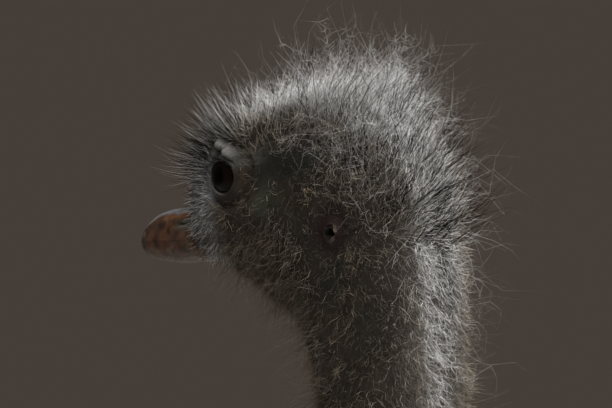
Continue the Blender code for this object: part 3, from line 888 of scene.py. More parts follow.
class Nodes:
    """A short way to write a material's node tree."""

    def __init__(self, name):
        self.material = bpy.data.materials.new(name)
        self.material.use_nodes = True
        self.tree = self.material.node_tree
        self.shader = self.tree.nodes["Principled BSDF"]

    def add(self, kind, **settings):
        node = self.tree.nodes.new(kind)
        for key, value in settings.items():
            setattr(node, key, value)
        return node

    def link(self, source, target):
        self.tree.links.new(source, target)

    def attribute(self, name):
        return self.add("ShaderNodeAttribute", attribute_name=name)

    def noise(self, scale, detail=4.0, roughness=0.6, distortion=0.0):
        node = self.add("ShaderNodeTexNoise")
        node.inputs["Scale"].default_value = scale
        node.inputs["Detail"].default_value = detail
        node.inputs["Roughness"].default_value = roughness
        node.inputs["Distortion"].default_value = distortion
        place = self.add("ShaderNodeTexCoord")
        self.link(place.outputs["Object"], node.inputs["Vector"])
        return node

    def cells(self, scale, feature="DISTANCE_TO_EDGE"):
        node = self.add("ShaderNodeTexVoronoi", feature=feature)
        node.inputs["Scale"].default_value = scale
        place = self.add("ShaderNodeTexCoord")
        self.link(place.outputs["Object"], node.inputs["Vector"])
        return node

    def math(self, operation, a, b):
        node = self.add("ShaderNodeMath", operation=operation)
        for socket, value in zip(node.inputs, (a, b)):
            if isinstance(value, (int, float)):
                socket.default_value = value
            else:
                self.link(value, socket)
        return node.outputs[0]

    def ramp(self, value, low, high, to_low=0.0, to_high=1.0):
        node = self.add("ShaderNodeMapRange")
        node.interpolation_type = "SMOOTHSTEP"
        limits = {"From Min": low, "From Max": high, "To Min": to_low, "To Max": to_high}
        for key, number in limits.items():
            node.inputs[key].default_value = number
        self.link(value, node.inputs["Value"])
        return node.outputs[0]

    def tinted(self, colour, factor):
        """A colour made lighter or darker by a factor."""
        node = self.add("ShaderNodeVectorMath", operation="SCALE")
        self.link(colour, node.inputs[0])
        self.link(factor, node.inputs["Scale"])
        return node.outputs[0]

    def bump(self, height, distance, strength=1.0):
        node = self.add("ShaderNodeBump")
        node.inputs["Distance"].default_value = distance
        node.inputs["Strength"].default_value = strength
        self.link(height, node.inputs["Height"])
        self.link(node.outputs["Normal"], self.shader.inputs["Normal"])
        return node


def down_material(name, specular):
    """Dry, soft hair: its own colour and a faint streak along it."""
    n = Nodes(name)
    tint = n.attribute("tint")
    streak = n.ramp(n.noise(900.0, 3.0).outputs["Fac"], 0.3, 0.7, 0.84, 1.16)
    n.link(n.tinted(tint.outputs["Color"], streak), n.shader.inputs["Base Color"])
    n.shader.inputs["Roughness"].default_value = 0.55
    n.shader.inputs["Specular IOR Level"].default_value = specular
    return n.material


def plume_material():
    """Loose vanes: fine barbs across the vane, soft and matt."""
    n = Nodes("plumes")
    tint = n.attribute("tint")
    barbs = n.noise(420.0, 5.0, 0.7, 0.6)
    shade = n.ramp(barbs.outputs["Fac"], 0.30, 0.70, 0.72, 1.22)
    n.link(n.tinted(tint.outputs["Color"], shade), n.shader.inputs["Base Color"])
    n.bump(barbs.outputs["Fac"], 0.002, 0.6)
    n.shader.inputs["Roughness"].default_value = 0.78
    n.shader.inputs["Specular IOR Level"].default_value = 0.08
    n.shader.inputs["Sheen Weight"].default_value = 0.10
    n.shader.inputs["Sheen Roughness"].default_value = 0.5
    return n.material


def skin_material():
    """Bare skin: pores and fine wrinkles on the head, scales below the hocks."""
    n = Nodes("skin")
    tint = n.attribute("tint")
    scaly = n.attribute("scaly").outputs["Fac"]
    pores = n.cells(900.0, "F1").outputs["Distance"]
    folds = n.noise(260.0, 6.0, 0.65, 0.8).outputs["Fac"]
    scales = n.ramp(n.cells(190.0).outputs["Distance"], 0.0, 0.16)
    soft = n.math("ADD", n.math("MULTIPLY", pores, 0.35), folds)
    height = n.math("ADD", soft, n.math("MULTIPLY", n.math("MULTIPLY", scales, scaly), 1.8))
    n.bump(height, 0.0010, 0.75)
    blotch = n.ramp(n.noise(75.0, 6.0, 0.7).outputs["Fac"], 0.3, 0.7, 0.78, 1.22)
    seams = n.math("MULTIPLY", n.math("SUBTRACT", 1.0, scales), n.math("MULTIPLY", scaly, 0.55))
    dark_seams = n.math("SUBTRACT", 1.0, seams)
    shade = n.math("MULTIPLY", blotch, dark_seams)
    n.link(n.tinted(tint.outputs["Color"], shade), n.shader.inputs["Base Color"])
    n.shader.inputs["Specular IOR Level"].default_value = 0.25
    rough = n.ramp(n.noise(320.0, 4.0).outputs["Fac"], 0.3, 0.7, 0.45, 0.68)
    n.link(rough, n.shader.inputs["Roughness"])
    return n.material


def horn_material():
    """The bill's horn: mottled, with growth lines and a worn satin surface."""
    n = Nodes("horn")
    tint = n.attribute("tint")
    mottle = n.ramp(n.noise(230.0, 7.0, 0.7, 0.5).outputs["Fac"], 0.32, 0.68, 0.70, 1.28)
    n.link(n.tinted(tint.outputs["Color"], mottle), n.shader.inputs["Base Color"])
    lines = n.noise(420.0, 5.0, 0.6, 1.2).outputs["Fac"]
    n.bump(lines, 0.0006, 0.55)
    n.shader.inputs["Specular IOR Level"].default_value = 0.22
    rough = n.ramp(n.noise(500.0, 4.0).outputs["Fac"], 0.3, 0.7, 0.38, 0.60)
    n.link(rough, n.shader.inputs["Roughness"])
    return n.material


def eye_material():
    """A wet eye: a black pupil in a very dark brown iris with fine rays."""
    n = Nodes("eye")
    tint = n.attribute("tint")
    rays = n.ramp(n.noise(700.0, 5.0, 0.7, 0.4).outputs["Fac"], 0.3, 0.7, 0.6, 1.4)
    n.link(n.tinted(tint.outputs["Color"], rays), n.shader.inputs["Base Color"])
    n.shader.inputs["Roughness"].default_value = 0.08
    n.shader.inputs["Specular IOR Level"].default_value = 0.07
    n.shader.inputs["Coat Weight"].default_value = 0.03
    n.shader.inputs["Coat Roughness"].default_value = 0.03
    return n.material


def claw_material():
    """Worn dark horn with streaks."""
    n = Nodes("claw")
    tint = n.attribute("tint")
    streak = n.ramp(n.noise(160.0, 6.0, 0.7, 1.0).outputs["Fac"], 0.3, 0.7, 0.75, 1.25)
    n.link(n.tinted(tint.outputs["Color"], streak), n.shader.inputs["Base Color"])
    n.bump(n.noise(300.0, 5.0, 0.6, 1.5).outputs["Fac"], 0.0008, 0.5)
    n.shader.inputs["Roughness"].default_value = 0.42
    return n.material


MATERIALS = {
    "down": down_material("down", 0.18),
    "dark_down": down_material("dark_down", 0.0),
    "plumes": plume_material(),
    "skin": skin_material(),
    "horn": horn_material(),
    "eye": eye_material(),
    "claw": claw_material(),
}

# ---------------------------------------------------------------- skin, eyes, bill, claws


def add_skin():
    """The one skin, which stands for every node of flesh. Returns it for the coat to grow on."""
    mesh = make_skin_mesh()
    verts, normals = mesh_arrays(mesh)
    set_point_colour(mesh, "tint", skin_colour(verts, normals))
    set_point_value(mesh, "scaly", smooth(0.52, 0.46, verts[:, 2]))
    skin = Skin(mesh)
    shown_as_skin = [name for name in FLESH if not name.startswith("eye")]
    hand_over(add_object("skin", mesh, MATERIALS["skin"]), "bare_skin", *shown_as_skin)
    return skin


IRIS = np.array((0.0070, 0.0045, 0.0034))
EYE_WHITE = (0.25, 0.22, 0.20)
CLAW_ROOT, CLAW_TIP = np.array((0.045, 0.036, 0.030)), np.array((0.150, 0.125, 0.100))


def add_eyeball(side):
    """A ball with a shallow bulge for the cornea."""
    centre = EYES[side].copy()
    sign = 1 if side == "left" else -1
    centre[0] = sign * EYE_MIDDLE_X
    bm = bmesh.new()
    bmesh.ops.create_uvsphere(bm, u_segments=64, v_segments=48, radius=EYEBALL)
    verts = np.array([v.co for v in bm.verts])
    look = unit(np.array((sign * 1.0, -0.28, 0.02)))
    facing = verts @ look / EYEBALL
    bulge = 1 + 0.035 * smooth(0.62, 0.95, facing)
    for vert, place in zip(bm.verts, verts * bulge[:, None] + centre):
        vert.co = place
    mesh = bpy.data.meshes.new(f"eye_{side}_ball")
    bm.to_mesh(mesh)
    bm.free()
    mesh.shade_smooth()
    off_axis = np.sqrt(np.maximum(1 - facing**2, 0)) * EYEBALL
    iris = np.tile(IRIS, (len(verts), 1))
    iris = mixed(iris, IRIS * 0.12, smooth(0.0052, 0.0044, off_axis)[:, None])
    iris = mixed(iris, IRIS * 0.35, smooth(0.0088, 0.0100, off_axis)[:, None])
    iris[facing < 0] = EYE_WHITE
    set_point_colour(mesh, "tint", iris)
    obj = add_object(f"eyeball_{side}", mesh, MATERIALS["eye"])
    return hand_over(obj, "eye", f"eye_{side}")


# The bill behind its rounded end: forward of the eyes, ridge, mouth line, underside, half width.
BILL = np.array((
    (0.0240, -0.0130, -0.0330, -0.0430, 0.0160),
    (0.0340, -0.0140, -0.0331, -0.0444, 0.0170),
    (0.0450, -0.0155, -0.0334, -0.0456, 0.0170),
    (0.0550, -0.0170, -0.0340, -0.0463, 0.0166),
))
BILL_END = 0.0322  # length of the rounded end
BILL_STATIONS = 72
BILL_AROUND = 64
BILL_GAP = 0.00005  # from each half to the mouth line
NOSTRIL_PAINTED_SHADE = np.array((0.012, 0.008, 0.006))


def bill_rows():
    """Rows like BILL's, evenly spaced, with the end rounded off like an egg's."""
    start = BILL[-1]
    turn = np.linspace(0, math.pi / 2, 24)[1:]
    ahead, size = np.sin(turn), np.cos(turn)
    mouth = start[2] - 0.0012 * ahead**2
    end = np.column_stack([
        start[0] + BILL_END * ahead,
        mouth + (start[1] - start[2]) * size**0.90,
        mouth,
        mouth + (start[3] - start[2]) * size**0.70,
        start[4] * size**0.90,
    ])
    rows = np.vstack([BILL, end])
    run = np.linalg.norm(np.diff(rows[:, (0, 1, 4)], axis=0), axis=1)
    run = np.concatenate([[0], np.cumsum(run)])
    even = np.linspace(0, run[-1] - 0.0004, BILL_STATIONS)
    rows = np.column_stack([np.interp(even, run, rows[:, k]) for k in range(5)])
    for _ in range(4):
        rows[1:-1] = (rows[:-2] + 2 * rows[1:-1] + rows[2:]) / 4
    return rows


def bill_colour(f, u, x, upper, high):
    """Mottled dark reddish-brown horn with a grey rim that is partly painted highlight, a tawny band under it
    and a pale patch; the lower half gets painted shade towards its underside.
    """
    place = np.column_stack([f, u, x])
    red, brown = np.array((0.098, 0.044, 0.025)), np.array((0.060, 0.036, 0.023))
    colour = mixed(red, brown, smooth(-0.4, 0.4, value_noise(place, 0.006, 21))[:, None])
    pale = np.array((0.150, 0.104, 0.082))
    colour = mixed(colour, pale, smooth(0.10, 0.7, value_noise(place, 0.0042, 22))[:, None] * 0.6)
    colour = mixed(colour, brown * 0.45, smooth(0.1, 0.7, value_noise(place, 0.0026, 23))[:, None] * 0.7)
    if upper:
        tawny = np.array((0.200, 0.092, 0.042))
        band = bump_at(high, 0.74, 0.08) * smooth(0.068, 0.056, f) * smooth(0.030, 0.040, f)
        colour = mixed(colour, tawny, (band * 0.7)[:, None])
        patch = bump_at(high, 0.46, 0.13) * smooth(0.054, 0.045, f)
        colour = mixed(colour, np.array((0.180, 0.190, 0.155)), (patch * 0.9)[:, None])
        # The pale grey along the ridge is partly the horn's own grey and partly a painted highlight.
        rim = mixed(0.77, 0.54, smooth(0.066, 0.084, f))
        ridge = smooth(rim, rim + 0.14, high + 0.05 * value_noise(place, 0.005, 24))
        colour = mixed(colour, np.array((0.225, 0.230, 0.250)), (ridge * 0.90)[:, None])
    else:
        # Painted shade: the lower half is darker, most towards its underside.
        colour = mixed(colour * 0.8, brown * 0.6, smooth(0.45, 0.95, high)[:, None] * 0.7)
    return colour


def bill_surface(upper):
    """One half's curved side as grids of x, f and u, its flat edge, height share and nostril."""
    f, ridge, mouth, under, half = (column[:, None] for column in bill_rows().T)
    angle = np.linspace(0, math.pi, BILL_AROUND)
    edge = mouth + BILL_GAP if upper else mouth - BILL_GAP
    reach = ridge - edge if upper else under - edge
    high = np.sin(angle)[None] ** 0.9
    x = half * np.sign(np.cos(angle)) * np.abs(np.cos(angle)) ** 0.85
    u = edge + reach * high * (1 - 0.10 * smooth(0.075, 0.089, f))
    nostril = np.zeros_like(u)
    if upper:
        u = u + 0.0006 * bump_at(high, 1.0, 0.10) * smooth(0.03, 0.06, f)
        groove = bump_at(high, 0.52, 0.055) * smooth(0.066, 0.050, f)
        nostril = bump_at(high, 0.47, 0.05) * bump_at(f, 0.0475, 0.0042)
        x = x * (1 - (0.045 * groove + 0.16 * nostril))
    lip = bump_at(high, 0.0, 0.10) * 0.0004
    x = x + np.sign(x) * lip
    return x, np.broadcast_to(f, x.shape), u, edge, high, nostril


def closed_tube(name, rings):
    """A mesh through rings of points, closed at both ends."""
    index = np.arange(rings.shape[0] * rings.shape[1]).reshape(rings.shape[:2])
    beside = np.roll(index, -1, 1)
    quads = np.stack([index[:-1], beside[:-1], beside[1:], index[1:]], axis=2).reshape(-1, 4)
    mesh = mesh_from_arrays(name, rings.reshape(-1, 3), quads)
    bm = bmesh.new()
    bm.from_mesh(mesh)
    bm.verts.ensure_lookup_table()
    for row in (index[0], index[-1]):
        bm.faces.new([bm.verts[i] for i in row])
    bmesh.ops.recalc_face_normals(bm, faces=bm.faces[:])
    bm.to_mesh(mesh)
    bm.free()
    mesh.shade_smooth()
    mesh.set_sharp_from_angle(angle=math.radians(45))
    return mesh


def add_bill(upper):
    """One half of the bill: its curved side, and the flat side that faces the other half."""
    x, f, u, edge, high, nostril = bill_surface(upper)
    curved = np.stack([x, HEAD_Y - f, EYE_Z + u], axis=2)
    level = np.broadcast_to(EYE_Z + edge, x.shape)
    flat = np.stack([x[:, ::-1] * 0.98, HEAD_Y - f, level], axis=2)
    rings = np.concatenate([curved, flat[:, 1:-1]], axis=1)
    name = "upper" if upper else "lower"
    mesh = closed_tube(f"horn_{name}", rings)

    def on_rings(values):
        """Values of the curved side, with 0 on the flat side."""
        blank = np.zeros((len(rings), rings.shape[1] - BILL_AROUND))
        return np.concatenate([np.broadcast_to(values, x.shape), blank], axis=1).ravel()

    world = rings.reshape(-1, 3)
    colour = bill_colour(HEAD_Y - world[:, 1], world[:, 2] - EYE_Z, world[:, 0], upper, on_rings(high))
    # Painted shade in the nostril, which is only a shallow dent.
    dark = on_rings(smooth(0.6, 0.98, nostril))
    set_point_colour(mesh, "tint", painted(colour, NOSTRIL_PAINTED_SHADE, dark))
    return hand_over(add_object(f"horn_{name}", mesh, MATERIALS["horn"]), "horn", f"bill_{name}")


def dress_claw(side):
    """The CAD claw's own outline, rounded, in dark horn."""
    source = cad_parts[f"claw_{side}"]
    bm = bmesh.new()
    bm.from_mesh(source.data)
    bmesh.ops.remove_doubles(bm, verts=bm.verts[:], dist=1e-5)
    mesh = bpy.data.meshes.new(f"nail_{side}")
    bm.to_mesh(mesh)
    bm.free()
    obj = add_object(f"nail_{side}", mesh, MATERIALS["claw"])
    rounder = obj.modifiers.new("round", "SUBSURF")
    rounder.levels = rounder.render_levels = 2
    verts, _ = mesh_arrays(mesh)
    tip = smooth(verts[:, 1].max() - 0.01, verts[:, 1].min(), verts[:, 1])
    set_point_colour(mesh, "tint", painted(CLAW_ROOT, CLAW_TIP, tip))
    mesh.shade_smooth()
    return hand_over(obj, "claw", f"claw_{side}")


# ---------------------------------------------------------------- the down of head and neck


def hair_directions(normals, flow, lift, spread):
    """Directions that leave the skin at an angle of lift and lie along the coat's flow."""
    along = flattened(flow, normals)
    wander = RNG.normal(size=normals.shape) * np.reshape(spread, (-1, 1))
    lift = np.reshape(lift, (-1, 1))
    return unit(along * np.cos(lift) + normals * np.sin(lift) + wander)


def off_eye(f, u, x, margin=1.28):
    """0 over the eye, its lids and the fold above them, 1 away from them."""
    share = gap_share(f, u)
    _, across, _, ends = fold_terms(f, u)
    below_fold = ends * smooth(-0.0125, -0.0105, across) * smooth(0.0052, 0.0038, across)
    clear = smooth(margin, margin + 0.30, share) * (1 - np.clip(below_fold, 0, 1))
    return np.where(x > SIDE_X, clear, 1.0)


def in_head(skin):
    return (skin.run < RUN_NECK_END + 0.02) & (skin.centres[:, 2] > 1.1)


def head_density(skin):
    """How thick the down grows on head and neck."""
    f, u, x = head_terms(skin.centres)
    reach, _ = ear_terms(f, u)
    out = x > SIDE_X
    density = off_eye(f, u, x) * (1 - 0.4 * smooth(2.1, 1.5, gap_share(f, u)) * out)
    in_ear = mixed(0.0, 0.30, smooth(0.0050, 0.0075, reach))
    density = density * np.where(out, mixed(in_ear, 1.0, smooth(0.008, 0.018, reach)), 1)
    density = density * (1 - 0.75 * head_darkness(f, u) * out)
    density = density * smooth(0.046, 0.034, f + 0.4 * np.clip(u + 0.03, 0, 0.03))
    face = smooth(0.008, 0.020, f) * smooth(0.034, 0.020, u)
    cheek = bump_at(f, -0.014, 0.016) * bump_at(u, -0.014, 0.012)
    tufts = value_noise(skin.centres, 0.0075, 41) + 0.6 * value_noise(skin.centres, 0.018, 42)
    on_side = smooth(0.85, 0.55, np.cos(skin.round_it)) * smooth(0.030, 0.016, u)
    density = density * mixed(1.0, mixed(0.34, 1.55, smooth(-0.30, 0.30, tufts)), on_side)
    brow = smooth(-0.006, 0.008, f) * smooth(0.010, 0.018, u)
    return density * (1 - 0.92 * face) * (1 - 0.45 * brow) * (1 - 0.30 * cheek * out)


CLUMP_SIZE = 7  # hairs to a clump
CREST_F = -0.067  # where the crest stands tallest
CREST_FEATHERS = 84
CREST_BARBS = 21  # on each side of a crest feather
LASHES = 46


def clumped(points, paths, pull):
    """Draws each hair's outer half towards the hair that leads its clump."""
    count = len(points)
    leaders = RNG.choice(count, count // CLUMP_SIZE, replace=False)
    tree = KDTree(len(leaders))
    for k, leader in enumerate(leaders):
        tree.insert(points[leader], k)
    tree.balance()
    led_by = np.array([leaders[tree.find(point)[1]] for point in points])
    t = np.linspace(0, 1, paths.shape[1])[None, :, None]
    return paths + (paths[led_by] - paths) * (t**1.3) * pull[:, None, None]


class DownZones:
    """Shares from 0 to 1 that say which part of head and neck each hair grows on."""

    def __init__(self, points):
        self.run, self.tangent, _, self.round_it = on_spine(points)
        f, u, x = head_terms(points)
        self.lids = smooth(2.1, 1.5, gap_share(f, u)) * (x > SIDE_X)
        back = np.cos(self.round_it)
        on_head = smooth(RUN_NAPE + 0.025, RUN_NAPE - 0.045, self.run)
        self.crown = smooth(0.66, 0.90, back) * on_head * smooth(0.030, 0.010, f)
        self.nape = smooth(0.60, 0.90, back) * (1 - on_head)
        self.under = smooth(-0.3, -0.85, back)
        self.face = smooth(0.004, 0.022, f) * smooth(0.034, 0.016, u)
        self.front = smooth(-0.03, 0.01, f)
        self.rear = smooth(-0.070, -0.095, f)
        self.beside = bump_at(back, 0.74, 0.15) * (1 - on_head)
        self.low = smooth(PHOTO_END, PHOTO_END - 0.15, points[:, 2])
        self.combed = np.clip(self.crown + 0.35 * self.nape, 0, 1)

    def blend(self, side, crown, nape, under, face):
        """One value for each hair, from the values that hold for the five parts."""
        value = mixed(side, crown, self.crown)
        value = mixed(value, nape, self.nape)
        value = mixed(value, under, self.under)
        return mixed(value, face, self.face)


def down_colours(points, zones, painted_lighting_side, painted_lighting_combed):
    """The down's own colour with a spread of pale and dark hairs, scaled by each layer's painted light and
    shade.
    """
    count = len(points)
    vary = np.exp(RNG.normal(size=count) * mixed(0.42, 0.44, zones.combed))
    # Each layer's factor is painted lighting: below 1 it is painted shade on the close layer, above 1 painted
    # light on the outer layer.
    shade = mixed(painted_lighting_side, painted_lighting_combed, zones.combed)
    shade = shade * mixed(1.0, 0.76, zones.beside)
    colours = down_colour(points, zones.run, zones.round_it) * (vary * shade)[:, None]
    kind = RNG.random(count) - 0.14 * zones.rear * zones.crown
    colours[kind < 0.22] = BROWN_DOWN
    colours[kind < 0.12] = BLACK_DOWN
    return colours


def grow_down(name, skin, density, count, nodes, pieces, width, painted_layer_lighting):
    """One layer of the frizzy down, in pieces from the bill's root downwards."""
    points, normals = skin.scatter(count, density)
    order = np.argsort(on_spine(points)[0])
    points, normals = points[order], normals[order]
    zones = DownZones(points)
    crown_length = 14.5 * MM * mixed(1.0, 0.62, zones.front) * mixed(1.0, 0.70, zones.rear)
    length = zones.blend(6.8 * MM, crown_length, 9.5 * MM, 5.5 * MM, 4.0 * MM)
    length = length * mixed(1.0, 0.60, zones.beside) * mixed(1.0, 0.45, zones.lids)
    length = mixed(length, 14 * MM, zones.low) * RNG.lognormal(0, 0.24, count)
    lift = zones.blend(34.0, 48.0, 36.0, 46.0, 22.0) * RNG.uniform(0.4, 1.4, count)
    lift = lift * mixed(1.0, 0.60, zones.beside)
    flow = head_flow(points, zones.run, zones.tangent)
    directions = hair_directions(normals, flow, np.radians(lift), mixed(0.65, 0.38, zones.combed))
    bend = normals * RNG.normal(-0.05, 0.22, (count, 1)) + RNG.normal(size=(count, 3)) * 0.28
    curl = zones.blend(0.20, 0.14, 0.10, 0.20, 0.20)
    paths = hair_paths(points - normals * 0.0004, directions, length, bend, curl, nodes, (0.4, 1.1))
    pull = mixed(0.50, 0.20, zones.combed) * RNG.random(count) * (1 - 0.6 * zones.nape)
    paths = clumped(points, paths, pull)
    radius = mixed(0.000105, 0.00024, zones.low) * width * RNG.uniform(0.75, 1.25, count)
    radius = radius * mixed(1.0, 0.60, zones.lids) * mixed(1.0, 0.82, zones.crown)
    colours = down_colours(points, zones, *painted_layer_lighting)
    edges = np.linspace(0, count, pieces + 1).astype(int)
    for k, (start, end) in enumerate(zip(edges, edges[1:])):
        part = slice(start, end)
        # Roots at 0.10 and tips at 1.50: painted shade deep in the coat, painted light at its surface.
        add_hair(f"{name}_{k + 1}", points[part], paths[part], radius[part], colours[part], 0.10, 1.50)


def add_down(skin):
    """The down of head and neck: a fine close layer and a coarser one that stands out of it."""
    top = smooth(PHOTO_END - 0.05, PHOTO_END + 0.01, skin.centres[:, 2])
    density = head_density(skin) * in_head(skin) * mixed(0.20, 1.0, top)
    # The last pair of numbers is painted lighting: shade on the close layer underneath, light on the outer
    # layer that stands out of it.
    grow_down("under_down", skin, density, 39500, 3, 3, 0.85, (0.92, 0.88))
    grow_down("over_down", skin, density, 18500, 4, 2, 1.25, (1.55, 1.30))


def grow(name, skin, count, zone, make, radius, colours, curl, nodes, taper=0.9, look="down"):
    """One piece of long thin hairs in a zone. make gives directions, lengths and bends."""
    points, normals = skin.scatter(count, zone + 1e-12)
    directions, length, bend = make(points, normals)
    paths = hair_paths(points - normals * 0.0005, directions, length, bend, np.full(count, curl), nodes)
    radii = RNG.uniform(*radius, count)
    return add_hair(name, points, paths, radii, colours(count), 0.8, 1.0, taper, look)


def two_colours(dark, pale, pale_share):
    """A function that gives count colours, a share of them pale."""
    return lambda count: np.where((RNG.random(count) < pale_share)[:, None], pale, dark)


def beside_eyes(skin):
    """1 on head and neck, 0 over the eyes and close round them."""
    return in_head(skin) * off_eye(*head_terms(skin.centres), 1.30)


def add_brow_bristles(skin):
    """Long bristles that fan forward and up from the brow and over the lore."""
    f, u, _ = head_terms(skin.centres)
    inside = beside_eyes(skin)

    def brow(points, normals):
        count = len(points)
        f, u, _ = head_terms(points)
        flow = np.column_stack([np.zeros(count), -(f + 0.016), (u - 0.002) * 0.9]) * 50
        lift = np.radians(RNG.uniform(6, 42, count))
        length = RNG.uniform(13, 33, count) * MM
        bend = np.array((0, 0, 0.14)) + RNG.normal(size=(count, 3)) * 0.08
        return hair_directions(normals, flow, lift, 0.10), length, bend

    over_lore = bump_at(u, 0.013, 0.009) * smooth(0.004, 0.012, f) * smooth(0.042, 0.034, f)
    zone = smooth(0.014, 0.022, u) * smooth(-0.016, 0.004, f) + 1.8 * over_lore
    grow("brow_dark", skin, 2500, zone * inside, brow, (0.00007, 0.00013),
         two_colours(BLACK_DOWN * 0.4, BROWN_DOWN * 0.4, 0.4), 0.012, 4, 0.7, "dark_down")
    grow("brow_pale", skin, 1300, zone * inside, brow, (0.00006, 0.00011),
         two_colours(GREY_DOWN, WHITE_DOWN * 0.9, 0.7), 0.012, 4, 0.7)


def add_lore_hairs(skin):
    """Short dark and pale hairs between the eye and the bill."""
    f, u, _ = head_terms(skin.centres)

    def lore(points, normals):
        count = len(points)
        f, u, _ = head_terms(points)
        flow = np.column_stack([np.zeros(count), -(f - 0.004), (u + 0.006) * 0.9]) * 60
        flow += RNG.normal(size=(count, 3)) * 0.30
        lift = np.radians(RNG.uniform(12, 40, count))
        directions = hair_directions(normals, flow, lift, 0.12)
        length = RNG.uniform(3.5, 9.0, count) * MM
        return directions, length, RNG.normal(size=(count, 3)) * 0.12

    zone = smooth(0.008, 0.014, f) * smooth(0.050, 0.040, f) * smooth(0.024, 0.014, u)
    zone = zone * smooth(-0.050, -0.036, u) * beside_eyes(skin)
    grow("lore_dark", skin, 1800, zone, lore, (0.00009, 0.00016),
         two_colours(BLACK_DOWN * 0.4, BROWN_DOWN * 0.4, 0.3), 0.03, 4, 0.75, "dark_down")
    grow("lore_pale", skin, 1600, zone, lore, (0.00008, 0.00014),
         two_colours(GREY_DOWN, WHITE_DOWN * 1.1, 0.7), 0.03, 4, 0.75)


def add_dark_hairs(skin):
    """Stout dark hairs that stand in the white of the crown and the back of the head."""
    f, u, _ = head_terms(skin.centres)
    back = np.cos(skin.round_it)

    def streak(points, normals):
        count = len(points)
        flow = np.array((0.0, 0.30, 1.0)) + RNG.normal(size=(count, 3)) * 0.22
        lift = np.radians(RNG.uniform(38, 66, count))
        bend = np.array((0.0, 0.30, 0.10)) + RNG.normal(size=(count, 3)) * 0.20
        return hair_directions(normals, flow, lift, 0.08), RNG.uniform(19, 31, count) * MM, bend

    at_rear = smooth(-0.050, -0.070, f) * smooth(-0.045, -0.025, u) * smooth(0.76, 0.86, back)
    on_crown = smooth(0.80, 0.92, back) * smooth(0.018, 0.028, u) * smooth(0.012, -0.006, f)
    zone = (at_rear + 0.55 * on_crown) * beside_eyes(skin)
    grow("dark_streaks", skin, 520, zone, streak, (0.00016, 0.00030),
         two_colours(BLACK_DOWN * 0.3, BROWN_DOWN * 0.4, 0.3), 0.05, 6, 0.8, "dark_down")


def in_photo(skin):
    """1 where the camera sees the neck, fading to 0 below it."""
    return smooth(PHOTO_END - 0.20, PHOTO_END, skin.centres[:, 2])


def add_crown_wisps(skin):
    """Thin long wisps that make a see-through fringe over the crown."""
    f, _, _ = head_terms(skin.centres)
    back = np.cos(skin.round_it)

    def over(points, normals):
        count = len(points)
        run, tangent, _, _ = on_spine(points)
        lift = np.radians(RNG.uniform(50, 90, count))
        bend = RNG.normal(size=(count, 3)) * 0.50
        at_crest = bump_at(head_terms(points)[0], CREST_F, 0.026)
        length = RNG.uniform(15, 25, count) * MM * mixed(1.0, 1.35, at_crest)
        return hair_directions(normals, head_flow(points, run, tangent), lift, 0.35), length, bend

    zone = smooth(0.70, 0.90, back) * smooth(RUN_NECK_TOP, RUN_NAPE, skin.run)
    zone = zone * smooth(0.026, 0.0, f) * (0.16 + bump_at(f, CREST_F, 0.026))
    grow("crown_wisps", skin, 1700, zone * in_head(skin), over, (0.00005, 0.000085),
         two_colours(GREY_DOWN, WHITE_DOWN * 0.8, 0.6), 0.34, 6)


def add_nape_fringe(skin):
    """A thin fringe that stands out of the nape and turns upwards."""
    back = np.cos(skin.round_it)

    def fringe(points, normals):
        count = len(points)
        _, tangent, _, _ = on_spine(points)
        lift = np.radians(RNG.uniform(40, 80, count))
        bend = RNG.normal(size=(count, 3)) * 0.20
        bend[:, 2] += RNG.uniform(0.1, 0.7, count)
        return hair_directions(normals, tangent, lift, 0.16), RNG.uniform(11, 24, count) * MM, bend

    zone = smooth(0.50, 0.78, back) * smooth(RUN_NAPE - 0.01, RUN_NECK_TOP, skin.run) * in_photo(skin)
    grow("nape_fringe", skin, 2500, zone * in_head(skin), fringe, (0.00004, 0.00007),
         two_colours(BROWN_DOWN * 1.6, GREY_DOWN * 1.5, 0.5), 0.04, 5)


def add_throat_fuzz(skin):
    """Loose fuzz that stands out of the throat and the front of the neck."""
    f, _, _ = head_terms(skin.centres)
    back = np.cos(skin.round_it)

    def fuzz(points, normals):
        count = len(points)
        _, tangent, _, _ = on_spine(points)
        lift = np.radians(RNG.uniform(45, 85, count))
        flow = tangent + np.array((0.0, -0.2, -0.2))
        bend = RNG.normal(size=(count, 3)) * 0.32
        return hair_directions(normals, flow, lift, 0.22), RNG.uniform(9, 24, count) * MM, bend

    zone = smooth(-0.10, -0.65, back) * smooth(0.036, 0.020, f) * in_photo(skin)
    grow("throat_fuzz", skin, 3400, zone * in_head(skin), fuzz, (0.00008, 0.00013),
         two_colours(BROWN_DOWN * 1.3, GREY_DOWN * 1.1, 0.5), 0.14, 5)


def barbed(paths, barbs):
    """Fine barbs on both sides of each path: roots, directions, owners and places along it."""
    count, nodes = paths.shape[:2]
    heading = unit(np.gradient(paths, axis=1))
    side = unit(np.cross(heading[:, 0], RNG.normal(size=(count, 3))))
    rows = np.arange(count)
    roots, directions, places = [], [], []
    for k in range(barbs):
        for sign in (1, -1):
            t = mixed(0.25, 0.99, (k + RNG.random(count)) / barbs)
            low = np.minimum((t * (nodes - 1)).astype(int), nodes - 2)
            share = (t * (nodes - 1) - low)[:, None]
            ahead = heading[rows, low]
            across = unit(side - ahead * dot(side, ahead)) * sign
            lean = RNG.uniform(0.25, 0.9, (count, 1))
            roots.append(mixed(paths[rows, low], paths[rows, low + 1], share))
            directions.append(unit(across + ahead * lean + RNG.normal(size=(count, 3)) * 0.30))
            places.append(t)
    owners = np.tile(rows, 2 * barbs)
    return np.concatenate(roots), np.concatenate(directions), owners, np.concatenate(places)


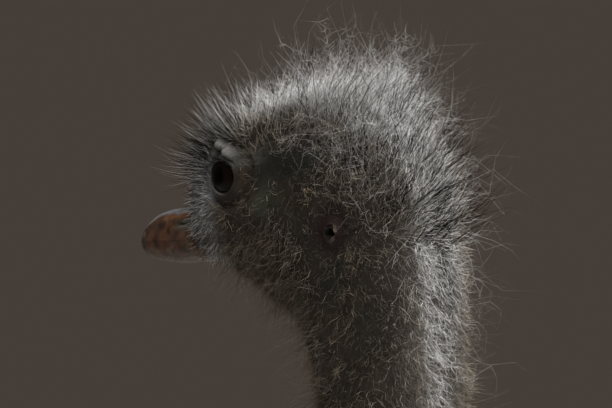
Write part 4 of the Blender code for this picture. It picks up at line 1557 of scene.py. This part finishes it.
def add_crest(skin):
    """Wispy curling feathers that stand over the crown, each with its own barbs."""
    f, u, _ = head_terms(skin.centres)
    back = np.cos(skin.round_it)
    over = smooth(0.86, 0.96, back) * smooth(0.010, 0.022, u)
    front = bump_at(f, CREST_F + 0.036, 0.016) * 0.40
    tuft = bump_at(f, CREST_F, 0.009)
    behind = bump_at(f, CREST_F - 0.020, 0.010) * 0.40
    count = CREST_FEATHERS
    points, normals = skin.scatter(count, (front + tuft + behind) * over * in_head(skin))
    f, _, _ = head_terms(points)
    tall = bump_at(f, CREST_F, 0.010)
    directions = unit(normals * 0.5 + np.array((0.0, 0.04, 1.0)) + RNG.normal(size=(count, 3)) * 0.18)
    length = RNG.uniform(19, 28, count) * MM * mixed(0.90, 1.16, tall)
    droop = np.sign(CREST_F - f)[:, None] * np.array((0.0, 0.9, 0.0)) + np.array((0.0, 0.0, -0.8))
    bend = RNG.normal(size=(count, 3)) * 0.40 + droop * (1 - tall)[:, None]
    curl = np.full(count, 0.13)
    paths = hair_paths(points - normals * 0.001, directions, length, bend, curl, 9, (0.5, 1.0))
    roots, ways, owners, at = barbed(paths, CREST_BARBS)
    add_hair("crest_shafts", points, paths, np.full(count, 0.00007), np.tile(WHITE_DOWN * 0.7, (count, 1)),
             0.8, 1.1, 0.6)
    total = len(roots)
    barb_length = RNG.uniform(4.0, 10.0, total) * MM * mixed(1.1, 0.7, at)
    barb_bend = RNG.normal(size=(total, 3)) * 0.60
    barb_paths = hair_paths(roots, ways, barb_length, barb_bend, np.full(total, 0.34), 4)
    add_hair("crest_barbs", points[owners], barb_paths, np.full(total, 0.000045),
             np.tile(WHITE_DOWN * 0.8, (total, 1)), 0.9, 1.1)


def add_lashes(side):
    """Curved lashes along the upper lid."""
    sign = 1 if side == "left" else -1
    count = LASHES
    angle = np.radians(np.linspace(40, 150, count)) + RNG.normal(0, 0.03, count)
    outline = np.interp(angle, GAP_ANGLES, GAP_REACH) * 1.12
    f, u = GAP_MIDDLE[0] + np.cos(angle) * outline, GAP_MIDDLE[1] + np.sin(angle) * outline
    reach = np.hypot(f - EYE_F, u)
    x = EYE_MIDDLE_X + np.sqrt(np.maximum((EYEBALL + LID_THICK) ** 2 - reach**2, 0))
    roots = np.column_stack([sign * x, HEAD_Y - f, EYE_Z + u])
    out = np.column_stack([np.full(count, sign * 1.0), -0.4 - 40 * (f - EYE_F), np.full(count, 0.15)])
    directions = unit(out + RNG.normal(size=(count, 3)) * 0.10)
    length = RNG.uniform(5.0, 8.5, count) * MM
    bend = np.array((0.0, -0.10, 0.30)) + RNG.normal(size=(count, 3)) * 0.05
    paths = hair_paths(roots, directions, length, bend, np.zeros(count), 6)
    colours = np.tile(BLACK_DOWN * 0.8, (count, 1))
    return add_hair(f"lashes_{side}", roots, paths, np.full(count, 0.00012), colours, 1.0, 1.0, 0.8)


# ---------------------------------------------------------------- the plumes of the body

PLUME_NODES = 7
PLUME_BARBS = 12  # on each side of a plume
BODY_PLUMES = 700
BODY_PLUME_PIECES = 2
BODY_TUFTS = 4600
WING_PLUMES = 230  # on each wing
TAIL_PLUMES = 230
VANE_SHARE = 0.24  # how much of a plume's width is its closed middle
# How far plumes may stand out of the CAD box, and how softly they are turned back.
PLUME_ROOM = np.array((0.014, 0.020, 0.005))
PLUME_TURN = 0.030


def kept_in_box(verts):
    """Bends back whatever would stand too far out of the CAD box."""
    middle = (cad_low + cad_high) / 2
    half = (cad_high - cad_low) / 2 + PLUME_ROOM
    out = verts - middle
    soft = half - PLUME_TURN
    over = np.maximum(np.abs(out) - soft, 0)
    turned = np.minimum(np.abs(out), soft) + PLUME_TURN * (1 - np.exp(-over / PLUME_TURN))
    return middle + np.sign(out) * turned


def vanes(path, across, face, widths):
    """The closed middle of each plume: points, triangles and each point's plume, place and side."""
    count = len(path)
    along = np.linspace(0, 1, PLUME_NODES)
    profile = np.sin(np.pi * mixed(0.05, 1, along) ** 0.75) ** 0.8
    half = widths[:, None, None] * 0.5 * VANE_SHARE * profile[None, :, None]
    arch = face * half * 0.35
    thick = face * (0.0005 + 0.0018 * (1 - along))[None, :, None]
    ring = np.stack([path - across * half - arch, path + thick, path + across * half - arch, path - thick], 2)
    verts = np.concatenate([ring[:, :-1].reshape(count, -1, 3), path[:, -1:]], axis=1)
    per = 4 * (PLUME_NODES - 1) + 1
    faces = [(0, 2, 1), (0, 3, 2)]
    for k in range(PLUME_NODES - 2):
        for s in range(4):
            a, b = 4 * k + s, 4 * k + (s + 1) % 4
            faces += [(a, b, b + 4), (a, b + 4, a + 4)]
    last = 4 * (PLUME_NODES - 2)
    faces += [(last + s, last + (s + 1) % 4, per - 1) for s in range(4)]
    faces = (np.array(faces)[None] + per * np.arange(count)[:, None, None]).reshape(-1, 3)
    station = np.tile(np.concatenate([np.repeat(along[:-1], 4), [1.0]]), count)
    around = np.tile(np.concatenate([np.tile((0.0, 0.5, 1.0, 0.5), PLUME_NODES - 1), [0.5]]), count)
    return verts.reshape(-1, 3), faces, np.repeat(np.arange(count), per), station, around


def vane_barbs(path, heading, across, face, widths):
    """Floppy locks of barbs along both edges of each plume, given as vanes() gives its own."""
    count = len(path)
    rows = np.arange(count)
    roots, ways, places, lengths = [], [], [], []
    for k in range(PLUME_BARBS):
        for sign in (1, -1):
            at = mixed(0.10, 0.97, (k + RNG.random(count)) / PLUME_BARBS)
            low = np.minimum((at * (PLUME_NODES - 1)).astype(int), PLUME_NODES - 2)
            share = (at * (PLUME_NODES - 1) - low)[:, None]
            ahead, sideways, up = heading[rows, low], across[rows, low] * sign, face[rows, low]
            edge = 0.5 * VANE_SHARE * 0.6 * widths[:, None] * np.sin(np.pi * at**0.75)[:, None]
            way = sideways + ahead * RNG.uniform(0.8, 2.2, (count, 1))
            way = way + up * RNG.uniform(-0.4, 0.2, (count, 1))
            roots.append(mixed(path[rows, low], path[rows, low + 1], share) + sideways * edge)
            ways.append(unit(way + RNG.normal(size=(count, 3)) * 0.18))
            places.append(at)
            lengths.append(widths * RNG.uniform(0.6, 1.45, count) * (1.2 - 0.5 * at))
    roots, ways, lengths = np.concatenate(roots), np.concatenate(ways), np.concatenate(lengths)
    bend = np.array((0.0, 0.0, -0.30)) + RNG.normal(size=(len(roots), 3)) * 0.30
    paths = hair_paths(roots, ways, lengths, bend, np.full(len(roots), 0.12), 3)
    verts, faces, per, station, around = tubes(paths, 0.0005 + lengths * 0.020, 0.75)
    owner = np.repeat(np.tile(rows, 2 * PLUME_BARBS), per)
    at = np.repeat(np.concatenate(places), per)
    return verts, faces, owner, np.clip(at + 0.10 * station, 0, 1), around, station


def plume_paths(roots, normals, flow, lengths, droop, lift):
    """The middle line of each plume, which leaves the skin a little and then sags."""
    count = len(roots)
    direction = flattened(flow, normals) + normals * RNG.uniform(*lift, (count, 1))
    direction = unit(direction + RNG.normal(size=(count, 3)) * 0.08)
    t = np.linspace(0, 1, PLUME_NODES)[None, :, None]
    sag = np.array((0.0, 0.0, -1.0)) * droop[:, None] - normals * RNG.uniform(0.0, 0.14, (count, 1))
    sag = sag + RNG.normal(size=(count, 3)) * 0.07
    return roots[:, None] + (direction[:, None] * t + sag[:, None] * t**2) * lengths[:, None, None]


def plume_piece(name, slot, roots, normals, flow, lengths, widths, droop, colours, tips,
                lift=(0.06, 0.22)):
    """Loose feathers: a narrow vane down each path and floppy barbs that fray its edges."""
    path = plume_paths(roots, normals, flow, lengths, droop, lift)
    heading = unit(np.gradient(path, axis=1))
    face = unit(normals[:, None] - heading * dot(normals[:, None], heading))
    across = np.cross(heading, face)
    v_verts, v_faces, v_owner, v_station, v_around = vanes(path, across, face, widths)
    b_verts, b_faces, b_owner, b_station, b_around, b_edge = vane_barbs(path, heading, across, face, widths)
    verts = kept_in_box(np.vstack([v_verts, b_verts]))
    faces = np.vstack([v_faces, b_faces + len(v_verts)])
    owner = np.concatenate([v_owner, b_owner])
    station = np.concatenate([v_station, b_station])
    edge = np.concatenate([np.zeros(len(v_verts)), b_edge])
    mesh = mesh_from_arrays(name, verts, faces)
    share = smooth(0.35, 1.0, station) * 0.6 + 0.4 * edge
    # Painted shade: each plume darkens towards its root, under the plumes that lie over it.
    shade = mixed(0.50, 1.10, smooth(0, 0.7, station)) * RNG.lognormal(0, 0.05, len(verts))
    set_point_colour(mesh, "tint", mixed(colours[owner], tips[owner], share[:, None]) * shade[:, None])
    around = np.concatenate([v_around, b_around])
    write_uv(mesh, tuft_uv(stretched(unwrap(roots)), owner, around, station))
    return hand_over(add_object(name, mesh, MATERIALS["plumes"]), slot)


def outline_surface(names):
    """The CAD outline of the nodes named, for places where plumes end or start."""
    bm = bmesh.new()
    for name in names:
        bm.from_mesh(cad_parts[name].data)
    bmesh.ops.remove_doubles(bm, verts=bm.verts[:], dist=1e-5)
    bmesh.ops.triangulate(bm, faces=bm.faces[:])
    mesh = bpy.data.meshes.new("outline")
    bm.to_mesh(mesh)
    bm.free()
    return Skin(mesh)


def plume_flow(points):
    """Plumes lie back along the trunk and hang down its sides."""
    _, tangent, _, round_it = on_spine(points)
    flow = tangent.copy()
    flow[:, 2] -= 0.55 * np.abs(np.sin(round_it))
    return flow


def add_body_plumes(skin):
    """Grey-brown plumes over breast, back, flanks and belly, in pieces from front to back."""
    z = skin.centres[:, 2]
    zone = (skin.run > RUN_NECK_END - 0.10) * smooth(0.72, 0.80, z)
    zone = zone * (1 + 1.5 * bump_at(skin.run, RUN_NECK_END, 0.06) * smooth(0.2, 0.8, np.cos(skin.round_it)))
    count = BODY_PLUMES
    points, normals = skin.scatter(count, zone * mixed(1.0, 0.55, smooth(-0.2, -0.9, np.cos(skin.round_it))))
    order = np.argsort(points[:, 1])
    points, normals = points[order], normals[order]
    run, _, _, round_it = on_spine(points)
    front = smooth(RUN_NECK_END + 0.12, RUN_NECK_END - 0.10, run)
    lengths = mixed(RNG.uniform(0.13, 0.20, count), RNG.uniform(0.05, 0.09, count), front)
    widths = lengths * RNG.uniform(0.30, 0.42, count)
    colours = mixed(BODY_BROWN, BODY_GREY, RNG.random((count, 1))) * RNG.lognormal(0, 0.16, (count, 1))
    tips = colours * np.array((1.45, 1.42, 1.38))
    droop = RNG.uniform(0.10, 0.34, count) * np.abs(np.sin(round_it)) + 0.03
    step = count // BODY_PLUME_PIECES
    for k, start in enumerate(range(0, count, step)):
        part = slice(start, start + step)
        plume_piece(f"body_plumes_{k + 1}", "plumes", points[part], normals[part], plume_flow(points[part]),
                    lengths[part], widths[part], droop[part], colours[part], tips[part])


def add_body_tufts(skin):
    """Short coarse tufts under the plumes, thickest over the back and where the neck starts."""
    zone = (skin.run > RUN_NECK_END - 0.12) * smooth(0.78, 0.86, skin.centres[:, 2])
    zone = zone * mixed(0.35, 1.0, smooth(0.0, 0.5, np.cos(skin.round_it)))
    zone = zone * (1 + 1.5 * bump_at(skin.run, RUN_NECK_END + 0.04, 0.10))
    count = BODY_TUFTS
    points, normals = skin.scatter(count, zone)
    lift = np.radians(RNG.uniform(8, 30, count))
    directions = hair_directions(normals, plume_flow(points), lift, 0.30)
    lengths = RNG.uniform(0.040, 0.080, count)
    bend = RNG.normal(size=(count, 3)) * 0.20
    paths = hair_paths(points - normals * 0.002, directions, lengths, bend, np.full(count, 0.10), 3)
    colours = mixed(BODY_BROWN, BODY_GREY, RNG.random((count, 1))) * RNG.lognormal(0, 0.2, (count, 1))
    add_hair("body_tufts", points, paths, lengths * 0.030, colours, 0.45, 1.0, 0.8, "dark_down")


def add_wing_plumes(side):
    """Long loose plumes that fold over the flank, paler at the wing's rear."""
    sign = 1 if side == "left" else -1
    surface = outline_surface([f"wing_{side}"])
    outer = np.clip(surface.face_normals[:, 0] * sign, 0, 1)
    count = WING_PLUMES
    points, normals = surface.scatter(count, smooth(0.1, 0.5, outer))
    points = points - normals * 0.042
    low, high = node_box(f"wing_{side}")
    back = (points[:, 1] - low[1]) / (high[1] - low[1])
    under = 1 - (points[:, 2] - low[2]) / (high[2] - low[2])
    lengths = RNG.uniform(0.15, 0.24, count) * mixed(0.7, 1.1, back)
    room = (high[1] + 0.02 - points[:, 1]) / lengths
    lengths = lengths * np.clip(room, 0.35, 1.0)
    widths = lengths * RNG.uniform(0.30, 0.40, count)
    rear = smooth(0.45, 0.95, back * 0.7 + under * 0.5)[:, None]
    colours = mixed(BODY_BROWN * 1.05, PALE_PLUME * 0.75, rear * 0.8) * RNG.lognormal(0, 0.16, (count, 1))
    tips = mixed(colours * 1.4, PALE_PLUME, rear * 0.7)
    flow = np.array((0.0, 1.0, -0.42)) + RNG.normal(size=(count, 3)) * 0.12
    droop = RNG.uniform(0.10, 0.28, count)
    plume_piece(f"wing_plumes_{side}", "plumes", points, normals, flow, lengths, widths, droop, colours, tips,
                (0.02, 0.12))


def add_tail_plumes(skin):
    """Pale drooping plumes that rise from the rump and fall over the tail."""
    y, z = skin.centres[:, 1], skin.centres[:, 2]
    zone = smooth(TAIL[0][1] - 0.07, TAIL[0][1] + 0.05, y) * smooth(TAIL[0][2] + 0.02, TAIL[1][2] - 0.04, z)
    count = TAIL_PLUMES
    points, normals = skin.scatter(count, zone)
    lengths = RNG.uniform(0.16, 0.27, count)
    room = (points[:, 2] - TAIL[0][2] + 0.06) / lengths
    lengths = lengths * np.clip(room, 0.30, 1.0)
    widths = lengths * RNG.uniform(0.30, 0.40, count)
    colours = mixed(PALE_PLUME * 0.60, PALE_PLUME, RNG.random((count, 1)))
    behind = smooth(TAIL[0][1] - 0.05, TAIL[1][1] - 0.02, points[:, 1])[:, None]
    flow = mixed(np.array((0.0, 1.0, -0.25)), np.array((0.0, 0.30, -1.0)), behind)
    flow = flow + RNG.normal(size=(count, 3)) * 0.14
    droop = mixed(RNG.uniform(0.45, 0.80, count), RNG.uniform(0.10, 0.20, count), behind[:, 0])
    plume_piece("tail_plumes", "pale_plumes", points, normals, flow, lengths, widths, droop,
                colours, colours * 1.2, (0.05, 0.25))


# ---------------------------------------------------------------- camera, light, floor

VIEW_TURN = math.radians(40)
VIEW_DISTANCE = 1.5
VIEW_WIDTH = 0.324
VIEW_SHIFT = (0.0204, -0.0143)
SENSOR = 36.0
BACKDROP = (0.060, 0.048, 0.040)
FLOOR_RADIUS = 9.0


def add_camera():
    """From the bird's left and behind, level with the eyes, on the head and upper neck."""
    back = Vector((math.cos(VIEW_TURN), math.sin(VIEW_TURN), 0))
    right = Vector((-math.sin(VIEW_TURN), math.cos(VIEW_TURN), 0))
    target = Vector((0, HEAD_Y, EYE_Z)) + right * VIEW_SHIFT[0] + Vector((0, 0, VIEW_SHIFT[1]))
    data = bpy.data.cameras.new("camera")
    data.sensor_width = SENSOR
    data.lens = SENSOR * VIEW_DISTANCE / VIEW_WIDTH
    data.clip_start, data.clip_end = 0.1, 200
    camera = bpy.data.objects.new("camera", data)
    camera.location = target + back * VIEW_DISTANCE
    camera.rotation_mode = "QUATERNION"
    camera.rotation_quaternion = (-back).to_track_quat("-Z", "Y")
    bpy.context.scene.collection.objects.link(camera)
    bpy.context.scene.camera = camera


def add_area_light(name, place, target, size, power, colour):
    data = bpy.data.lights.new(name, "AREA")
    data.shape = "DISK"
    data.size = size
    data.energy = power
    data.color = colour
    light = bpy.data.objects.new(name, data)
    light.location = place
    light.rotation_mode = "QUATERNION"
    light.rotation_quaternion = (Vector(target) - Vector(place)).to_track_quat("-Z", "Y")
    bpy.context.scene.collection.objects.link(light)


def add_lights():
    """A soft key from above and behind, a soft overhead light, and weak light from the front."""
    head = (0.0, HEAD_Y + 0.05, EYE_Z)
    add_area_light("key", (-3.0, 1.75, 5.0), head, 1.2, 560, (1.0, 1.0, 0.99))
    add_area_light("rim", (-2.9, 3.0, 3.3), head, 1.0, 130, (1.0, 1.0, 0.99))
    add_area_light("overhead", (1.9, 0.3, 5.2), (0, -0.2, 1.4), 1.8, 70, (1.0, 0.97, 0.93))
    add_area_light("side", (1.6, 4.2, 2.8), (0, 0, 1.1), 3.0, 75, (1.0, 0.97, 0.93))
    add_area_light("front", (0.6, -5.0, 2.6), (0, -0.2, 1.2), 3.0, 45, (1.0, 0.98, 0.96))
    for name in ("side", "front"):
        bpy.data.objects[name].visible_glossy = False
    world = bpy.data.worlds.new("studio")
    world.use_nodes = True
    background = world.node_tree.nodes["Background"]
    background.inputs["Color"].default_value = (*BACKDROP, 1.0)
    bpy.context.scene.world = world
    bpy.context.scene.view_settings.view_transform = "Standard"


def add_floor():
    """A round pale floor, small enough to stay under the camera's low edge."""
    bm = bmesh.new()
    bmesh.ops.create_circle(bm, cap_ends=True, cap_tris=False, segments=128, radius=FLOOR_RADIUS)
    bmesh.ops.translate(bm, verts=bm.verts, vec=(0, 0, -0.0008))
    mesh = bpy.data.meshes.new("floor")
    bm.to_mesh(mesh)
    bm.free()
    n = Nodes("floor")
    grain = n.ramp(n.noise(3.0, 6.0).outputs["Fac"], 0.3, 0.7, 0.95, 1.05)
    colour = n.add("ShaderNodeRGB")
    colour.outputs[0].default_value = (0.46, 0.445, 0.42, 1.0)
    n.link(n.tinted(colour.outputs[0], grain), n.shader.inputs["Base Color"])
    n.shader.inputs["Roughness"].default_value = 0.8
    add_object("floor", mesh, n.material)


# ---------------------------------------------------------------- everything, in order


def build():
    """Every piece. The order matters, as all random draws come from one generator."""
    skin = add_skin()
    for side in ("left", "right"):
        add_eyeball(side)
        dress_claw(side)
        add_lashes(side)
    add_bill(True)
    add_bill(False)
    add_down(skin)
    add_brow_bristles(skin)
    add_lore_hairs(skin)
    add_dark_hairs(skin)
    add_crown_wisps(skin)
    add_nape_fringe(skin)
    add_throat_fuzz(skin)
    add_crest(skin)
    add_body_tufts(skin)
    add_body_plumes(skin)
    for side in ("left", "right"):
        add_wing_plumes(side)
    add_tail_plumes(skin)
    add_camera()
    add_lights()
    add_floor()


build()
